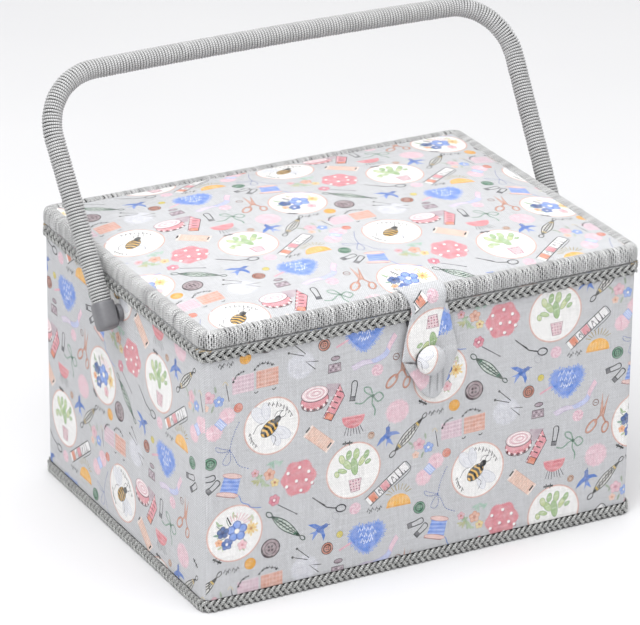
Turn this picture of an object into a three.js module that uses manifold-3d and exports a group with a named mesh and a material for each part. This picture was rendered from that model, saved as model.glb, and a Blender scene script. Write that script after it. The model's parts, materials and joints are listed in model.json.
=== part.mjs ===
// A lidded sewing box of cloth-covered board: a padded lid on two butt hinges,
// a cloth loop that closes over a covered button, a wound carrying handle that
// swings on two screws, and two lift-out trays.
//
// Millimetres, +Z up. The box stands on z = 0 and is centred on x = 0 and y = 0.
// Its front, with the button, faces -Y, and its hinges are at the back.

import * as THREE from 'three';
import { mergeVertices } from 'three/addons/utils/BufferGeometryUtils.js';
import Module from 'manifold-3d';

const manifold = await Module();
manifold.setup();

// Driving dimensions.
const BOX_WIDTH = 320;
const BOX_DEPTH = 242;
const RIM_BOTTOM = 182.2;
const RIM_TOP = 193.6;
const GAP = 0.3;
const CLOTH = 0.7;
const BOARD = 5;
const SMALL_RADIUS = 1;
const OVERLAP = 0.5;
const MARGIN = 5;
const ROUND_STEPS = 14;
const CORNER_STEPS = 2;
const BEVEL_STEPS = 2;

// The box: cloth on board, with a braid at the top and at the bottom.
const TRIM_DEPTH = 2;
const TRIM_RADIUS = 8;
const COVER_RADIUS = 6;
const COVER_X = BOX_WIDTH / 2 - TRIM_DEPTH;
const COVER_Y = BOX_DEPTH / 2 - TRIM_DEPTH;
const BOARD_X = COVER_X - CLOTH - GAP;
const BOARD_Y = COVER_Y - CLOTH - GAP;
const INNER_X = BOARD_X - BOARD;
const INNER_Y = BOARD_Y - BOARD;
const LINING_X = INNER_X - GAP - CLOTH;
const LINING_Y = INNER_Y - GAP - CLOTH;
const BOARD_RADIUS = COVER_RADIUS - CLOTH - GAP;
const WALL_BOTTOM = CLOTH + GAP;
const WALL_TOP = RIM_BOTTOM - GAP;
const LINING_DROP = 0.9;
const LINING_TOP = WALL_TOP - LINING_DROP;
const BASE_TOP = WALL_BOTTOM + BOARD;
const BOTTOM_TRIM_HEIGHT = 8.8;
const TOP_TRIM_HEIGHT = 8.4;

// The ledges, and the trays that hang on them.
const LEDGE_DEPTH = 8;
const LEDGE_HEIGHT = 6;
const LEDGE_TOP = 157.4;
const TRAY_INNER_X = 1;
const TRAY_OUTER_X = 146.5;
const TRAY_HALF_DEPTH = 111;
const TRAY_WALL = 1.6;
const TRAY_FLANGE = 1.8;
const TRAY_LIP_X = 2;
const TRAY_LIP_Y = 8.4;
const TRAY_HEIGHT = 32;
const TRAY_RADIUS = 5;
const CELL_RADIUS = 3.4;
const CELL_ROWS = [3, 2, 1];
const SCOOP_RADIUS = 15;
const SCOOP_RAISE = 4;

// The lid.
const RIM_WIDTH = 8;
const RIM_RADIUS = 9;
const RIM_ROUNDING = 3;
const LID_X = BOX_WIDTH / 2 - RIM_WIDTH - GAP;
const LID_Y = BOX_DEPTH / 2 - RIM_WIDTH - GAP;
const LID_RADIUS = 0.5;
const LID_BOARD = 4;
const LID_RECESS = 0.6;
const LID_LINING_BOTTOM = RIM_BOTTOM + LID_RECESS;
const LID_BOARD_BOTTOM = LID_LINING_BOTTOM + CLOTH + GAP;
const PAD_BOTTOM = LID_BOARD_BOTTOM + LID_BOARD + GAP;
const COVER_EDGE = RIM_TOP - 1;
const COVER_CROWN = 8;
const PAD_CROWN = COVER_CROWN - 0.5;
const PAD_GAP = 1.2;
const CROWN_POWER = 5;
const CROWN_STEPS_X = 12;
const CROWN_STEPS_Y = 10;

// What is sewn to the underside of the lid.
const POCKET = { x: -68, y: -8, width: 148, depth: 132, height: 2.6, radius: 6 };
const CUSHION = { x: 92, y: -8, width: 84, depth: 62, height: 8.4, radius: 10, rounding: 3 };

// The butt hinges.
const HINGE_X = 96;
const HINGE_WIDTH = 34;
const LEAF = 1;
const LEAF_REACH = 7.4;
const KNUCKLE_RADIUS = 1.9;
const PIN_RADIUS = 1;
const HINGE_Y = BOX_DEPTH / 2 + GAP + KNUCKLE_RADIUS;
const HINGE_Z = RIM_BOTTOM;
const CENTRE_KNUCKLE = 13.4;
const END_KNUCKLE = (HINGE_WIDTH - CENTRE_KNUCKLE) / 2 - GAP;

// The button and the loop that closes over it.
const BUTTON_Z = 147;
const BUTTON_RADIUS = 10;
const BUTTON_THICKNESS = 8.4;
const BUTTON_EDGE = 1;
const BUTTON_SIDE = 2.6;
const DOME_STEPS = 5;
const POST_END = 0.6;
const POST_RADIUS = 1.8;
const WASHER_RADIUS = 4;
const WASHER_THICKNESS = 1;
const LOOP_THICKNESS = 1.6;
const LOOP_BACK = -BOX_DEPTH / 2 - GAP;
const LOOP_TOP_HALF = 18.5;
const LOOP_NECK_HALF = 13.5;
const LOOP_NECK_Z = 180;
const LOOP_WIDE_HALF = 25;
const LOOP_BOTTOM = 118;
const LOOP_HOLE_RADIUS = BUTTON_RADIUS + 0.8;
const LOOP_TUCK = 2;
const LOOP_TUCK_Y = -LID_Y - LOOP_TUCK;
const LOOP_SHOULDER = 8;

// The handle, drawn upright about its pivots and leant back.
const PIVOT_X = 169;
const PIVOT_Z = 162.3;
const HANDLE_LEAN = 34.2;
const HANDLE_REACH = 160.3;
const HANDLE_TOP_HALF = 172;
const HANDLE_BEND = 40.3;
const HANDLE_CROWN = 1.4;
const WINDING_RADIUS = 6.5;
const CORE_RADIUS = 4;
const HANDLE_STEPS = 40;
const WINDING_SIDES = 10;
const CORE_SIDES = 8;
const CAP = { x: 14.4, y: 16.4, above: 8.5, below: 9, rounding: 1.5 };
const SOCKET_FLOOR = 4;
const SPACER_RADIUS = 6;
const SCREW_RADIUS = 2;
const SCREW_HEAD_RADIUS = 5;
const SCREW_HEAD = 2;
const PLATE_RADIUS = 9;
const PLATE = 1;
const SCREW_TIP = PIVOT_X;

const material = (color, roughness, metalness = 0) =>
  new THREE.MeshStandardMaterial({ color, roughness, metalness });

const box = new THREE.Group();

function add(name, geometry, look, parent = box) {
  const mesh = new THREE.Mesh(geometry, look);
  mesh.name = name;
  parent.add(mesh);
  return mesh;
}

// Joining and cutting of closed geometries.

function toSolid(geometry) {
  const bare = new THREE.BufferGeometry();
  bare.setAttribute('position', geometry.getAttribute('position'));
  if (geometry.index) bare.setIndex(geometry.index);
  const merged = mergeVertices(bare);
  const mesh = new manifold.Mesh({
    numProp: 3,
    vertProperties: new Float32Array(merged.getAttribute('position').array),
    triVerts: new Uint32Array(merged.index.array),
  });
  return new manifold.Manifold(mesh);
}

function fromSolid(solid) {
  const mesh = solid.getMesh();
  const geometry = new THREE.BufferGeometry();
  geometry.setAttribute('position', new THREE.BufferAttribute(mesh.vertProperties, 3));
  geometry.setIndex(new THREE.BufferAttribute(mesh.triVerts, 1));
  return geometry;
}

function cut(geometry, tools) {
  const solid = tools.reduce((left, tool) => left.subtract(toSolid(tool)), toSolid(geometry));
  return fromSolid(solid);
}

function join(geometries) {
  const solids = geometries.map(toSolid);
  return fromSolid(solids.reduce((whole, next) => whole.add(next)));
}

function common(first, second) {
  return fromSolid(toSolid(first).intersect(toSolid(second)));
}

// Plain shapes.

function roundedRectangle(halfX, halfY, radius) {
  const shape = new THREE.Shape();
  shape.moveTo(halfX, -halfY + radius);
  shape.absarc(halfX - radius, halfY - radius, radius, 0, Math.PI / 2);
  shape.absarc(-halfX + radius, halfY - radius, radius, Math.PI / 2, Math.PI);
  shape.absarc(-halfX + radius, -halfY + radius, radius, Math.PI, Math.PI * 1.5);
  shape.absarc(halfX - radius, -halfY + radius, radius, Math.PI * 1.5, Math.PI * 2);
  shape.closePath();
  return shape;
}

function extrude(shape, height, z = 0, options = {}) {
  const settings = { depth: height, bevelEnabled: false, curveSegments: CORNER_STEPS, ...options };
  return new THREE.ExtrudeGeometry(shape, settings).translate(0, 0, z);
}

function slab(halfX, halfY, radius, bottom, top) {
  return extrude(roundedRectangle(halfX, halfY, radius), top - bottom, bottom);
}

// A closed wall of even thickness that runs round the box.
function ring(halfX, halfY, radius, thickness, bottom, top) {
  const shape = roundedRectangle(halfX, halfY, radius);
  const innerRadius = Math.max(radius - thickness, 0.5);
  shape.holes.push(roundedRectangle(halfX - thickness, halfY - thickness, innerRadius));
  return extrude(shape, top - bottom, bottom);
}

function block(low, high) {
  const size = new THREE.Vector3().subVectors(high, low);
  const middle = new THREE.Vector3().addVectors(low, high).multiplyScalar(0.5);
  return new THREE.BoxGeometry(size.x, size.y, size.z).translate(middle.x, middle.y, middle.z);
}

function rodAlongX(radius, fromX, toX, y, z, sides = ROUND_STEPS) {
  const rod = new THREE.CylinderGeometry(radius, radius, Math.abs(toX - fromX), sides);
  return rod.rotateZ(Math.PI / 2).translate((fromX + toX) / 2, y, z);
}

function rodAlongY(radius, fromY, toY, x, z, sides = ROUND_STEPS) {
  const rod = new THREE.CylinderGeometry(radius, radius, Math.abs(toY - fromY), sides);
  return rod.translate(x, (fromY + toY) / 2, z);
}

// The holes that the button's post and the handle's screws pass through.
const postHole = () => rodAlongY(POST_RADIUS + GAP, -BOX_DEPTH, 0, 0, BUTTON_Z);
const screwHole = () =>
  rodAlongX(SCREW_RADIUS + GAP, -BOX_WIDTH, BOX_WIDTH, 0, PIVOT_Z);

// The box.

function addBoards() {
  const look = material(0xb9a383, 0.85);
  const sideY = INNER_Y - GAP;
  const at = (x, y, z) => new THREE.Vector3(x, y, z);
  const front = block(at(-BOARD_X, -BOARD_Y, WALL_BOTTOM), at(BOARD_X, -INNER_Y, WALL_TOP));
  const back = block(at(-BOARD_X, INNER_Y, WALL_BOTTOM), at(BOARD_X, BOARD_Y, WALL_TOP));
  const left = block(at(-BOARD_X, -sideY, WALL_BOTTOM), at(-INNER_X, sideY, WALL_TOP));
  const right = block(at(INNER_X, -sideY, WALL_BOTTOM), at(BOARD_X, sideY, WALL_TOP));
  const outline = slab(BOARD_X, BOARD_Y, BOARD_RADIUS, WALL_BOTTOM, WALL_TOP);
  add('front_board', cut(common(front, outline), [postHole()]), look);
  add('back_board', common(back, outline), look);
  add('left_board', cut(left, [screwHole()]), look);
  add('right_board', cut(right, [screwHole()]), look);
  add('base_board', slab(INNER_X - GAP, sideY, SMALL_RADIUS, WALL_BOTTOM, BASE_TOP), look);
}

function addCloths() {
  const print = material(0xcfd3d6, 0.9);
  const lining = material(0xe9e2dc, 0.85);
  const felt = material(0x9b9c9e, 0.95);
  const cover = ring(COVER_X, COVER_Y, COVER_RADIUS, CLOTH, WALL_BOTTOM, WALL_TOP);
  const floor = BASE_TOP + GAP;
  const inside = ring(INNER_X - GAP, INNER_Y - GAP, SMALL_RADIUS, CLOTH, floor, LINING_TOP);
  const sheet = slab(LINING_X - GAP, LINING_Y - GAP, SMALL_RADIUS, floor, floor + CLOTH);
  add('body_cover', cut(cover, [postHole(), screwHole()]), print);
  add('side_lining', cut(inside, [postHole(), screwHole()]), lining);
  add('base_lining', sheet, lining);
  add('base_cloth', slab(BOARD_X, BOARD_Y, COVER_RADIUS, 0, CLOTH), felt);
}

function addTrims() {
  const braid = material(0xa6a8a8, 0.75);
  const thickness = TRIM_DEPTH - GAP;
  const trim = (bottom, top) =>
    ring(BOX_WIDTH / 2, BOX_DEPTH / 2, TRIM_RADIUS, thickness, bottom, top);
  add('bottom_trim', trim(0, BOTTOM_TRIM_HEIGHT), braid);
  add('top_trim', trim(WALL_TOP - TOP_TRIM_HEIGHT, WALL_TOP), braid);
}

function addLedges() {
  const look = material(0xe2dad3, 0.85);
  const x = LINING_X - GAP;
  for (const [name, side] of [['front_ledge', -1], ['back_ledge', 1]]) {
    const wallY = side * (LINING_Y - GAP);
    const freeY = wallY - side * LEDGE_DEPTH;
    const low = new THREE.Vector3(-x, Math.min(wallY, freeY), LEDGE_TOP - LEDGE_HEIGHT);
    const high = new THREE.Vector3(x, Math.max(wallY, freeY), LEDGE_TOP);
    add(name, block(low, high), look);
  }
}

function addButton() {
  const steel = material(0xb8babc, 0.35, 1);
  const headBack = LOOP_BACK - LOOP_THICKNESS - GAP;
  const outline = [
    new THREE.Vector2(0, 0),
    new THREE.Vector2(BUTTON_RADIUS - BUTTON_EDGE, 0),
    new THREE.Vector2(BUTTON_RADIUS, BUTTON_EDGE),
  ];
  for (let step = 0; step < DOME_STEPS; step += 1) {
    const angle = (step / DOME_STEPS) * (Math.PI / 2);
    const height = BUTTON_SIDE + (BUTTON_THICKNESS - BUTTON_SIDE) * Math.sin(angle);
    outline.push(new THREE.Vector2(BUTTON_RADIUS * Math.cos(angle), height));
  }
  outline.push(new THREE.Vector2(0, BUTTON_THICKNESS));
  const head = new THREE.LatheGeometry(outline, ROUND_STEPS).rotateX(Math.PI);
  const washerBack = -LINING_Y + GAP;
  const washerFront = washerBack + WASHER_THICKNESS;
  const washer = rodAlongY(WASHER_RADIUS, washerBack, washerFront, 0, BUTTON_Z);
  const post = rodAlongY(POST_RADIUS, headBack + GAP, washerFront + POST_END, 0, BUTTON_Z);
  add('button_head', head.translate(0, headBack, BUTTON_Z), material(0xdadde0, 0.85));
  add('button_post', post, steel);
  add('button_washer', cut(washer, [postHole()]), steel);
}

// The pivots of the handle.

function addPivots() {
  const steel = material(0xb8babc, 0.35, 1);
  const plastic = material(0x8f9092, 0.45);
  const capFace = PIVOT_X - CAP.x / 2;
  const plateOuter = LINING_X - GAP;
  const plateInner = plateOuter - PLATE;
  const headOuter = plateInner - GAP;
  const headInner = headOuter - SCREW_HEAD;
  for (const [side, sign] of [['left', -1], ['right', 1]]) {
    const rod = (radius, from, to) => rodAlongX(radius, sign * from, sign * to, 0, PIVOT_Z);
    const screw = join([
      rod(SCREW_HEAD_RADIUS, headInner, headOuter),
      rod(SCREW_RADIUS, headInner + OVERLAP, SCREW_TIP),
    ]);
    const plate = cut(rod(PLATE_RADIUS, plateInner, plateOuter), [screwHole()]);
    const spacer = cut(rod(SPACER_RADIUS, COVER_X + GAP, capFace - GAP), [screwHole()]);
    add(`pivot_screw_${side}`, screw, steel);
    add(`pivot_plate_${side}`, plate, steel);
    add(`pivot_spacer_${side}`, spacer, plastic);
  }
}

// The hinges. A leaf is a plate with its knuckles, on one side of the pin.

function hingeLeaf(x, direction, knuckles) {
  const y = HINGE_Y - KNUCKLE_RADIUS;
  const inner = KNUCKLE_RADIUS + GAP;
  const at = (dx, dz, dy) => new THREE.Vector3(x + dx, y + dy, HINGE_Z + direction * dz);
  const between = (x0, x1, z0, z1) => {
    const corners = [at(x0, z0, 0), at(x1, z1, LEAF)];
    const bounds = new THREE.Box3().setFromPoints(corners);
    return block(bounds.min, bounds.max);
  };
  const half = HINGE_WIDTH / 2;
  const pieces = [between(-half, half, inner, LEAF_REACH)];
  for (const [from, to] of knuckles) {
    pieces.push(between(from, to, 0, inner + OVERLAP));
    pieces.push(rodAlongX(KNUCKLE_RADIUS, x + from, x + to, HINGE_Y, HINGE_Z));
  }
  const bore = rodAlongX(PIN_RADIUS + GAP, x - half - MARGIN, x + half + MARGIN, HINGE_Y, HINGE_Z);
  return cut(join(pieces), [bore]);
}

function addHinges() {
  const plated = material(0xb9bbbd, 0.35, 1);
  const half = HINGE_WIDTH / 2;
  const ends = [[-half, -half + END_KNUCKLE], [half - END_KNUCKLE, half]];
  const centre = [[-CENTRE_KNUCKLE / 2, CENTRE_KNUCKLE / 2]];
  for (const [side, x] of [['left', -HINGE_X], ['right', HINGE_X]]) {
    add(`hinge_box_leaf_${side}`, hingeLeaf(x, -1, ends), plated);
    add(`hinge_lid_leaf_${side}`, hingeLeaf(x, 1, centre), plated);
    add(`hinge_pin_${side}`, rodAlongX(PIN_RADIUS, x - half, x + half, HINGE_Y, HINGE_Z), plated);
  }
}

// The lid.

const swell = (part) => 1 - Math.abs(part) ** CROWN_POWER;
const crowdToEdge = (part) => Math.sin((part * Math.PI) / 2);

// A slab whose top, and if asked its underside, rises to a crown in the middle.
function crowned(halfX, halfY, bottom, top, crown, hollow) {
  const geometry = new THREE.BoxGeometry(
    2 * halfX, 2 * halfY, top - bottom, CROWN_STEPS_X, CROWN_STEPS_Y, 1,
  );
  geometry.translate(0, 0, (top + bottom) / 2);
  const points = geometry.getAttribute('position');
  for (let i = 0; i < points.count; i += 1) {
    const onTop = points.getZ(i) > (top + bottom) / 2;
    const across = crowdToEdge(points.getX(i) / halfX);
    const along = crowdToEdge(points.getY(i) / halfY);
    const rise = onTop || hollow ? crown * swell(across) * swell(along) : 0;
    points.setXYZ(i, halfX * across, halfY * along, points.getZ(i) + rise);
  }
  return geometry;
}

function addLid() {
  const padTop = COVER_EDGE - CLOTH - PAD_GAP;
  const rimShape = roundedRectangle(BOX_WIDTH / 2, BOX_DEPTH / 2, RIM_RADIUS);
  rimShape.holes.push(
    roundedRectangle(BOX_WIDTH / 2 - RIM_WIDTH, BOX_DEPTH / 2 - RIM_WIDTH, LID_RADIUS),
  );
  const rounded = {
    bevelEnabled: true,
    bevelThickness: RIM_ROUNDING,
    bevelSize: RIM_ROUNDING,
    bevelOffset: -RIM_ROUNDING,
    bevelSegments: BEVEL_STEPS,
  };
  const height = RIM_TOP - RIM_BOTTOM - 2 * RIM_ROUNDING;
  const lining = [LID_LINING_BOTTOM, LID_LINING_BOTTOM + CLOTH];
  const board = [LID_BOARD_BOTTOM, LID_BOARD_BOTTOM + LID_BOARD];
  add('lid_rim', extrude(rimShape, height, RIM_BOTTOM + RIM_ROUNDING, rounded), material(0xa6a8a8, 0.75));
  add('lid_lining', slab(LID_X, LID_Y, LID_RADIUS, ...lining), material(0xe9e2dc, 0.85));
  add('lid_board', slab(LID_X, LID_Y, LID_RADIUS, ...board), material(0xb9a383, 0.85));
  add('lid_pad', crowned(LID_X, LID_Y, PAD_BOTTOM, padTop, PAD_CROWN, false), material(0xf2f1ee, 0.95));
  add('lid_cover', crowned(LID_X, LID_Y, COVER_EDGE - CLOTH, COVER_EDGE, COVER_CROWN, true),
    material(0xcfd3d6, 0.9));
}

function addLidPockets() {
  const top = LID_LINING_BOTTOM - GAP;
  const bottom = top - POCKET.height;
  const pocket = slab(POCKET.width / 2, POCKET.depth / 2, POCKET.radius, bottom, top);
  const rounded = {
    bevelEnabled: true,
    bevelThickness: CUSHION.rounding,
    bevelSize: CUSHION.rounding,
    bevelOffset: -CUSHION.rounding,
    bevelSegments: BEVEL_STEPS,
  };
  const outline = roundedRectangle(CUSHION.width / 2, CUSHION.depth / 2, CUSHION.radius);
  const core = CUSHION.height - 2 * CUSHION.rounding;
  const cushion = extrude(outline, core, top - CUSHION.height + CUSHION.rounding, rounded);
  add('lid_pocket', pocket.translate(POCKET.x, POCKET.y, 0), material(0xd9dbe0, 0.9));
  add('lid_pincushion', cushion.translate(CUSHION.x, CUSHION.y, 0), material(0xe59aa0, 0.9));
}

// The closing loop: a strap from under the lid's cover, over its rim and down
// the front, widening round the button.

function loopOutline() {
  const top = RIM_TOP + MARGIN;
  const shoulder = RIM_TOP - LOOP_SHOULDER;
  const tab = new THREE.Shape();
  const drop = LOOP_NECK_Z - BUTTON_Z;
  tab.moveTo(LOOP_TOP_HALF, top);
  tab.lineTo(LOOP_TOP_HALF, RIM_TOP);
  tab.quadraticCurveTo(LOOP_NECK_HALF, shoulder, LOOP_NECK_HALF, LOOP_NECK_Z);
  tab.bezierCurveTo(LOOP_NECK_HALF, LOOP_NECK_Z - drop / 3,
    LOOP_WIDE_HALF, BUTTON_Z + drop / 2, LOOP_WIDE_HALF, BUTTON_Z);
  tab.bezierCurveTo(LOOP_WIDE_HALF, BUTTON_Z - drop / 2,
    LOOP_NECK_HALF, LOOP_BOTTOM, 0, LOOP_BOTTOM);
  tab.bezierCurveTo(-LOOP_NECK_HALF, LOOP_BOTTOM,
    -LOOP_WIDE_HALF, BUTTON_Z - drop / 2, -LOOP_WIDE_HALF, BUTTON_Z);
  tab.bezierCurveTo(-LOOP_WIDE_HALF, BUTTON_Z + drop / 2,
    -LOOP_NECK_HALF, LOOP_NECK_Z - drop / 3, -LOOP_NECK_HALF, LOOP_NECK_Z);
  tab.quadraticCurveTo(-LOOP_NECK_HALF, shoulder, -LOOP_TOP_HALF, RIM_TOP);
  tab.lineTo(-LOOP_TOP_HALF, top);
  tab.closePath();
  const hole = new THREE.Path();
  hole.absarc(0, BUTTON_Z, LOOP_HOLE_RADIUS, 0, Math.PI * 2);
  tab.holes.push(hole);
  return tab;
}

// The strap seen from the side: flat down the front, bent over the rim's top.
function loopSide() {
  const inner = LOOP_BACK;
  const outer = LOOP_BACK - LOOP_THICKNESS;
  const under = RIM_TOP + GAP;
  const over = under + LOOP_THICKNESS;
  const bend = RIM_ROUNDING;
  const reach = bend + LOOP_THICKNESS;
  const shape = new THREE.Shape();
  shape.moveTo(inner, LOOP_BOTTOM - MARGIN);
  shape.lineTo(inner, under - bend);
  shape.absarc(inner + bend, under - bend, bend, Math.PI, Math.PI / 2, true);
  shape.lineTo(LOOP_TUCK_Y, under);
  shape.lineTo(LOOP_TUCK_Y, over);
  shape.lineTo(outer + reach, over);
  shape.absarc(outer + reach, over - reach, reach, Math.PI / 2, Math.PI);
  shape.lineTo(outer, LOOP_BOTTOM - MARGIN);
  shape.closePath();
  return shape;
}

function addLoop() {
  const upright = extrude(loopOutline(), BOX_DEPTH / 2, 0, { curveSegments: 5 });
  upright.rotateX(Math.PI / 2).translate(0, -BOX_DEPTH / 4, 0);
  const across = extrude(loopSide(), 4 * LOOP_WIDE_HALF, -2 * LOOP_WIDE_HALF);
  // The side view was drawn with y along x and z along y: turn it to match.
  across.rotateX(Math.PI / 2).rotateZ(Math.PI / 2);
  add('closure_loop', common(across, upright), material(0xcfd3d6, 0.9));
}

// The handle: a bent core, wound with cord, in two end caps.

function handlePath(start) {
  const bendX = HANDLE_TOP_HALF - HANDLE_BEND;
  const bendZ = HANDLE_REACH - HANDLE_BEND;
  const armTop = new THREE.Vector3(HANDLE_TOP_HALF, 0, bendZ);
  const foot = new THREE.Vector3(PIVOT_X, 0, 0).lerp(armTop, start / bendZ);
  const half = [foot];
  const armSteps = 10;
  const bendSteps = 10;
  const barSteps = 6;
  for (let i = 1; i < armSteps; i += 1) {
    half.push(foot.clone().lerp(armTop, i / armSteps));
  }
  for (let i = 0; i < bendSteps; i += 1) {
    const angle = (i / bendSteps) * (Math.PI / 2);
    const x = bendX + HANDLE_BEND * Math.cos(angle);
    half.push(new THREE.Vector3(x, 0, bendZ + HANDLE_BEND * Math.sin(angle)));
  }
  for (let i = 0; i < barSteps; i += 1) {
    const part = i / barSteps;
    const rise = HANDLE_CROWN * (1 - (1 - part) ** 2);
    half.push(new THREE.Vector3(bendX * (1 - part), 0, HANDLE_REACH + rise));
  }
  const middle = new THREE.Vector3(0, 0, HANDLE_REACH + HANDLE_CROWN);
  const other = half.map((point) => new THREE.Vector3(-point.x, 0, point.z)).reverse();
  return new THREE.CatmullRomCurve3([...half, middle, ...other]);
}

function circle(radius, sides) {
  const shape = new THREE.Shape();
  const path = new THREE.Path();
  path.absarc(0, 0, radius, 0, Math.PI * 2);
  shape.setFromPoints(path.getSpacedPoints(sides).slice(0, -1));
  return shape;
}

function tube(radius, sides, holeRadius, start) {
  const section = circle(radius, sides);
  if (holeRadius) section.holes.push(circle(holeRadius, sides));
  return new THREE.ExtrudeGeometry(section, {
    steps: HANDLE_STEPS,
    bevelEnabled: false,
    extrudePath: handlePath(start),
  });
}

function endCap(sign) {
  const outline = new THREE.Shape();
  outline.absellipse(0, 0, CAP.x / 2, CAP.y / 2, 0, Math.PI * 2);
  const cap = extrude(outline, CAP.above + CAP.below - 2 * CAP.rounding, -CAP.below + CAP.rounding, {
    curveSegments: ROUND_STEPS,
    bevelEnabled: true,
    bevelThickness: CAP.rounding,
    bevelSize: CAP.rounding,
    bevelOffset: -CAP.rounding,
    bevelSegments: BEVEL_STEPS,
  });
  const socketRadius = WINDING_RADIUS + GAP;
  const socket = new THREE.CylinderGeometry(socketRadius, socketRadius, CAP.above, ROUND_STEPS);
  socket.rotateX(Math.PI / 2).translate(0, 0, SOCKET_FLOOR + CAP.above / 2);
  const bore = rodAlongX(SCREW_RADIUS + GAP, -sign * CAP.x, sign * GAP, 0, 0);
  return cut(cap, [socket, bore]).translate(sign * PIVOT_X, 0, 0);
}

function addHandle() {
  const handle = new THREE.Group();
  handle.position.z = PIVOT_Z;
  handle.rotation.x = THREE.MathUtils.degToRad(-HANDLE_LEAN);
  box.add(handle);
  const start = SOCKET_FLOOR + GAP;
  const plastic = material(0x8f9092, 0.45);
  const winding = tube(WINDING_RADIUS, WINDING_SIDES, CORE_RADIUS + 2 * GAP, start);
  add('handle_winding', winding, material(0xa3a5a6, 0.75), handle);
  add('handle_core', tube(CORE_RADIUS, CORE_SIDES, 0, start), material(0xc9a877, 0.7), handle);
  add('end_cap_left', endCap(-1), plastic, handle);
  add('end_cap_right', endCap(1), plastic, handle);
}

// The trays: a moulded tub with a flange that rests on the ledges. The rows of
// cells run from front to back, and each row is split across its width.

function trayCells() {
  const halfX = (TRAY_OUTER_X - TRAY_INNER_X) / 2 - TRAY_LIP_X - TRAY_WALL;
  const halfY = TRAY_HALF_DEPTH - TRAY_LIP_Y - TRAY_WALL;
  const rowDepth = (2 * halfY + TRAY_WALL) / CELL_ROWS.length;
  const cells = [];
  CELL_ROWS.forEach((count, row) => {
    const cellWidth = (2 * halfX + TRAY_WALL) / count;
    for (let column = 0; column < count; column += 1) {
      cells.push({
        x: -halfX + (column + 0.5) * cellWidth - TRAY_WALL / 2,
        y: -halfY + (row + 0.5) * rowDepth - TRAY_WALL / 2,
        halfX: (cellWidth - TRAY_WALL) / 2,
        halfY: (rowDepth - TRAY_WALL) / 2,
      });
    }
  });
  return cells;
}

function tray(sign) {
  const halfX = (TRAY_OUTER_X - TRAY_INNER_X) / 2;
  const flangeBottom = LEDGE_TOP + GAP;
  const top = flangeBottom + TRAY_FLANGE;
  const bottom = top - TRAY_HEIGHT;
  const tub = slab(halfX - TRAY_LIP_X, TRAY_HALF_DEPTH - TRAY_LIP_Y, TRAY_RADIUS, bottom, top);
  const flange = slab(halfX, TRAY_HALF_DEPTH, TRAY_RADIUS, flangeBottom, top);
  const hollows = trayCells().map((cell) =>
    slab(cell.halfX, cell.halfY, CELL_RADIUS, bottom + TRAY_WALL, top + MARGIN)
      .translate(cell.x, cell.y, 0));
  const wallX = -sign * halfX;
  const wallEnd = wallX + sign * (TRAY_LIP_X + TRAY_WALL + OVERLAP);
  const scoop = rodAlongX(SCOOP_RADIUS, wallX - sign * OVERLAP, wallEnd, 0, top + SCOOP_RAISE);
  const middle = (sign * (TRAY_INNER_X + TRAY_OUTER_X)) / 2;
  return cut(join([tub, flange]), [...hollows, scoop]).translate(middle, 0, 0);
}

function addTrays() {
  const plastic = material(0xe6e6ea, 0.4);
  add('tray_left', tray(-1), plastic);
  add('tray_right', tray(1), plastic);
}

addBoards();
addCloths();
addTrims();
addLedges();
addButton();
addPivots();
addHinges();
addLid();
addLidPockets();
addLoop();
addHandle();
addTrays();

export default box;
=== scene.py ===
import json
import math
import random

import bmesh
import bpy
import numpy as np
from mathutils import Matrix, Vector
from mathutils.geometry import delaunay_2d_cdt


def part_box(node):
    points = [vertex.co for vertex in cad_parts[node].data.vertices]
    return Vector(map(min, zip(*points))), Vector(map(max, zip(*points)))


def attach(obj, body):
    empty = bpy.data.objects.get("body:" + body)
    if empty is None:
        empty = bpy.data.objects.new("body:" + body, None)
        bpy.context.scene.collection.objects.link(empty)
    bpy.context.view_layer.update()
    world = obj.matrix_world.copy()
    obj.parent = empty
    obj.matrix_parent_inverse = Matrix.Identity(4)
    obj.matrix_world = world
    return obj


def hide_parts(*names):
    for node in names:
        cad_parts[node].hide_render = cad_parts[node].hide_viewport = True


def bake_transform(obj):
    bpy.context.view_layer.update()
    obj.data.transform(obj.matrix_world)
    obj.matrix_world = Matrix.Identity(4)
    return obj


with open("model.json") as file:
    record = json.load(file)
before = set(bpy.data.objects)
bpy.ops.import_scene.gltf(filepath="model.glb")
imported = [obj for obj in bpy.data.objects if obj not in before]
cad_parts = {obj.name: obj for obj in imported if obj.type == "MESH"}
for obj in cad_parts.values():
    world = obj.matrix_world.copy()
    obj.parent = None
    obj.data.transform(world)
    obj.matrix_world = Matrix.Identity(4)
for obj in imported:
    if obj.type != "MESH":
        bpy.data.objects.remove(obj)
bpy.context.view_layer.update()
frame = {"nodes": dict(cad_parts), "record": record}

# Lengths in this script are in millimetres, and turn into metres where a mesh is made.
MM = 0.001
TURN = 2 * math.pi
random.seed(11)
chance = np.random.default_rng(11)


def span(node):
    low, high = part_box(node)
    return np.array(low) / MM, np.array(high) / MM


# The sizes that the CAD parts give.
COVER_LOW, COVER_HIGH = span("body_cover")
COVER_X = COVER_HIGH[0]
COVER_Y = COVER_HIGH[1]
COVER_RADIUS = 6
RIM_LOW, RIM_HIGH = span("lid_rim")
RIM_X = RIM_HIGH[0]
RIM_Y = RIM_HIGH[1]
RIM_BOTTOM = RIM_LOW[2]
RIM_TOP = RIM_HIGH[2]
RIM_RADIUS = 9
TOP_TRIM_LOW, TOP_TRIM_HIGH = span("top_trim")
BOTTOM_TRIM_LOW, BOTTOM_TRIM_HIGH = span("bottom_trim")
LID_LOW, LID_HIGH = span("lid_cover")
PAD_LOW, PAD_HIGH = span("lid_pad")
BUTTON_LOW, BUTTON_HIGH = span("button_head")
BUTTON_Z = (BUTTON_LOW[2] + BUTTON_HIGH[2]) / 2
BUTTON_RADIUS = (BUTTON_HIGH[2] - BUTTON_LOW[2]) / 2
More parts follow.
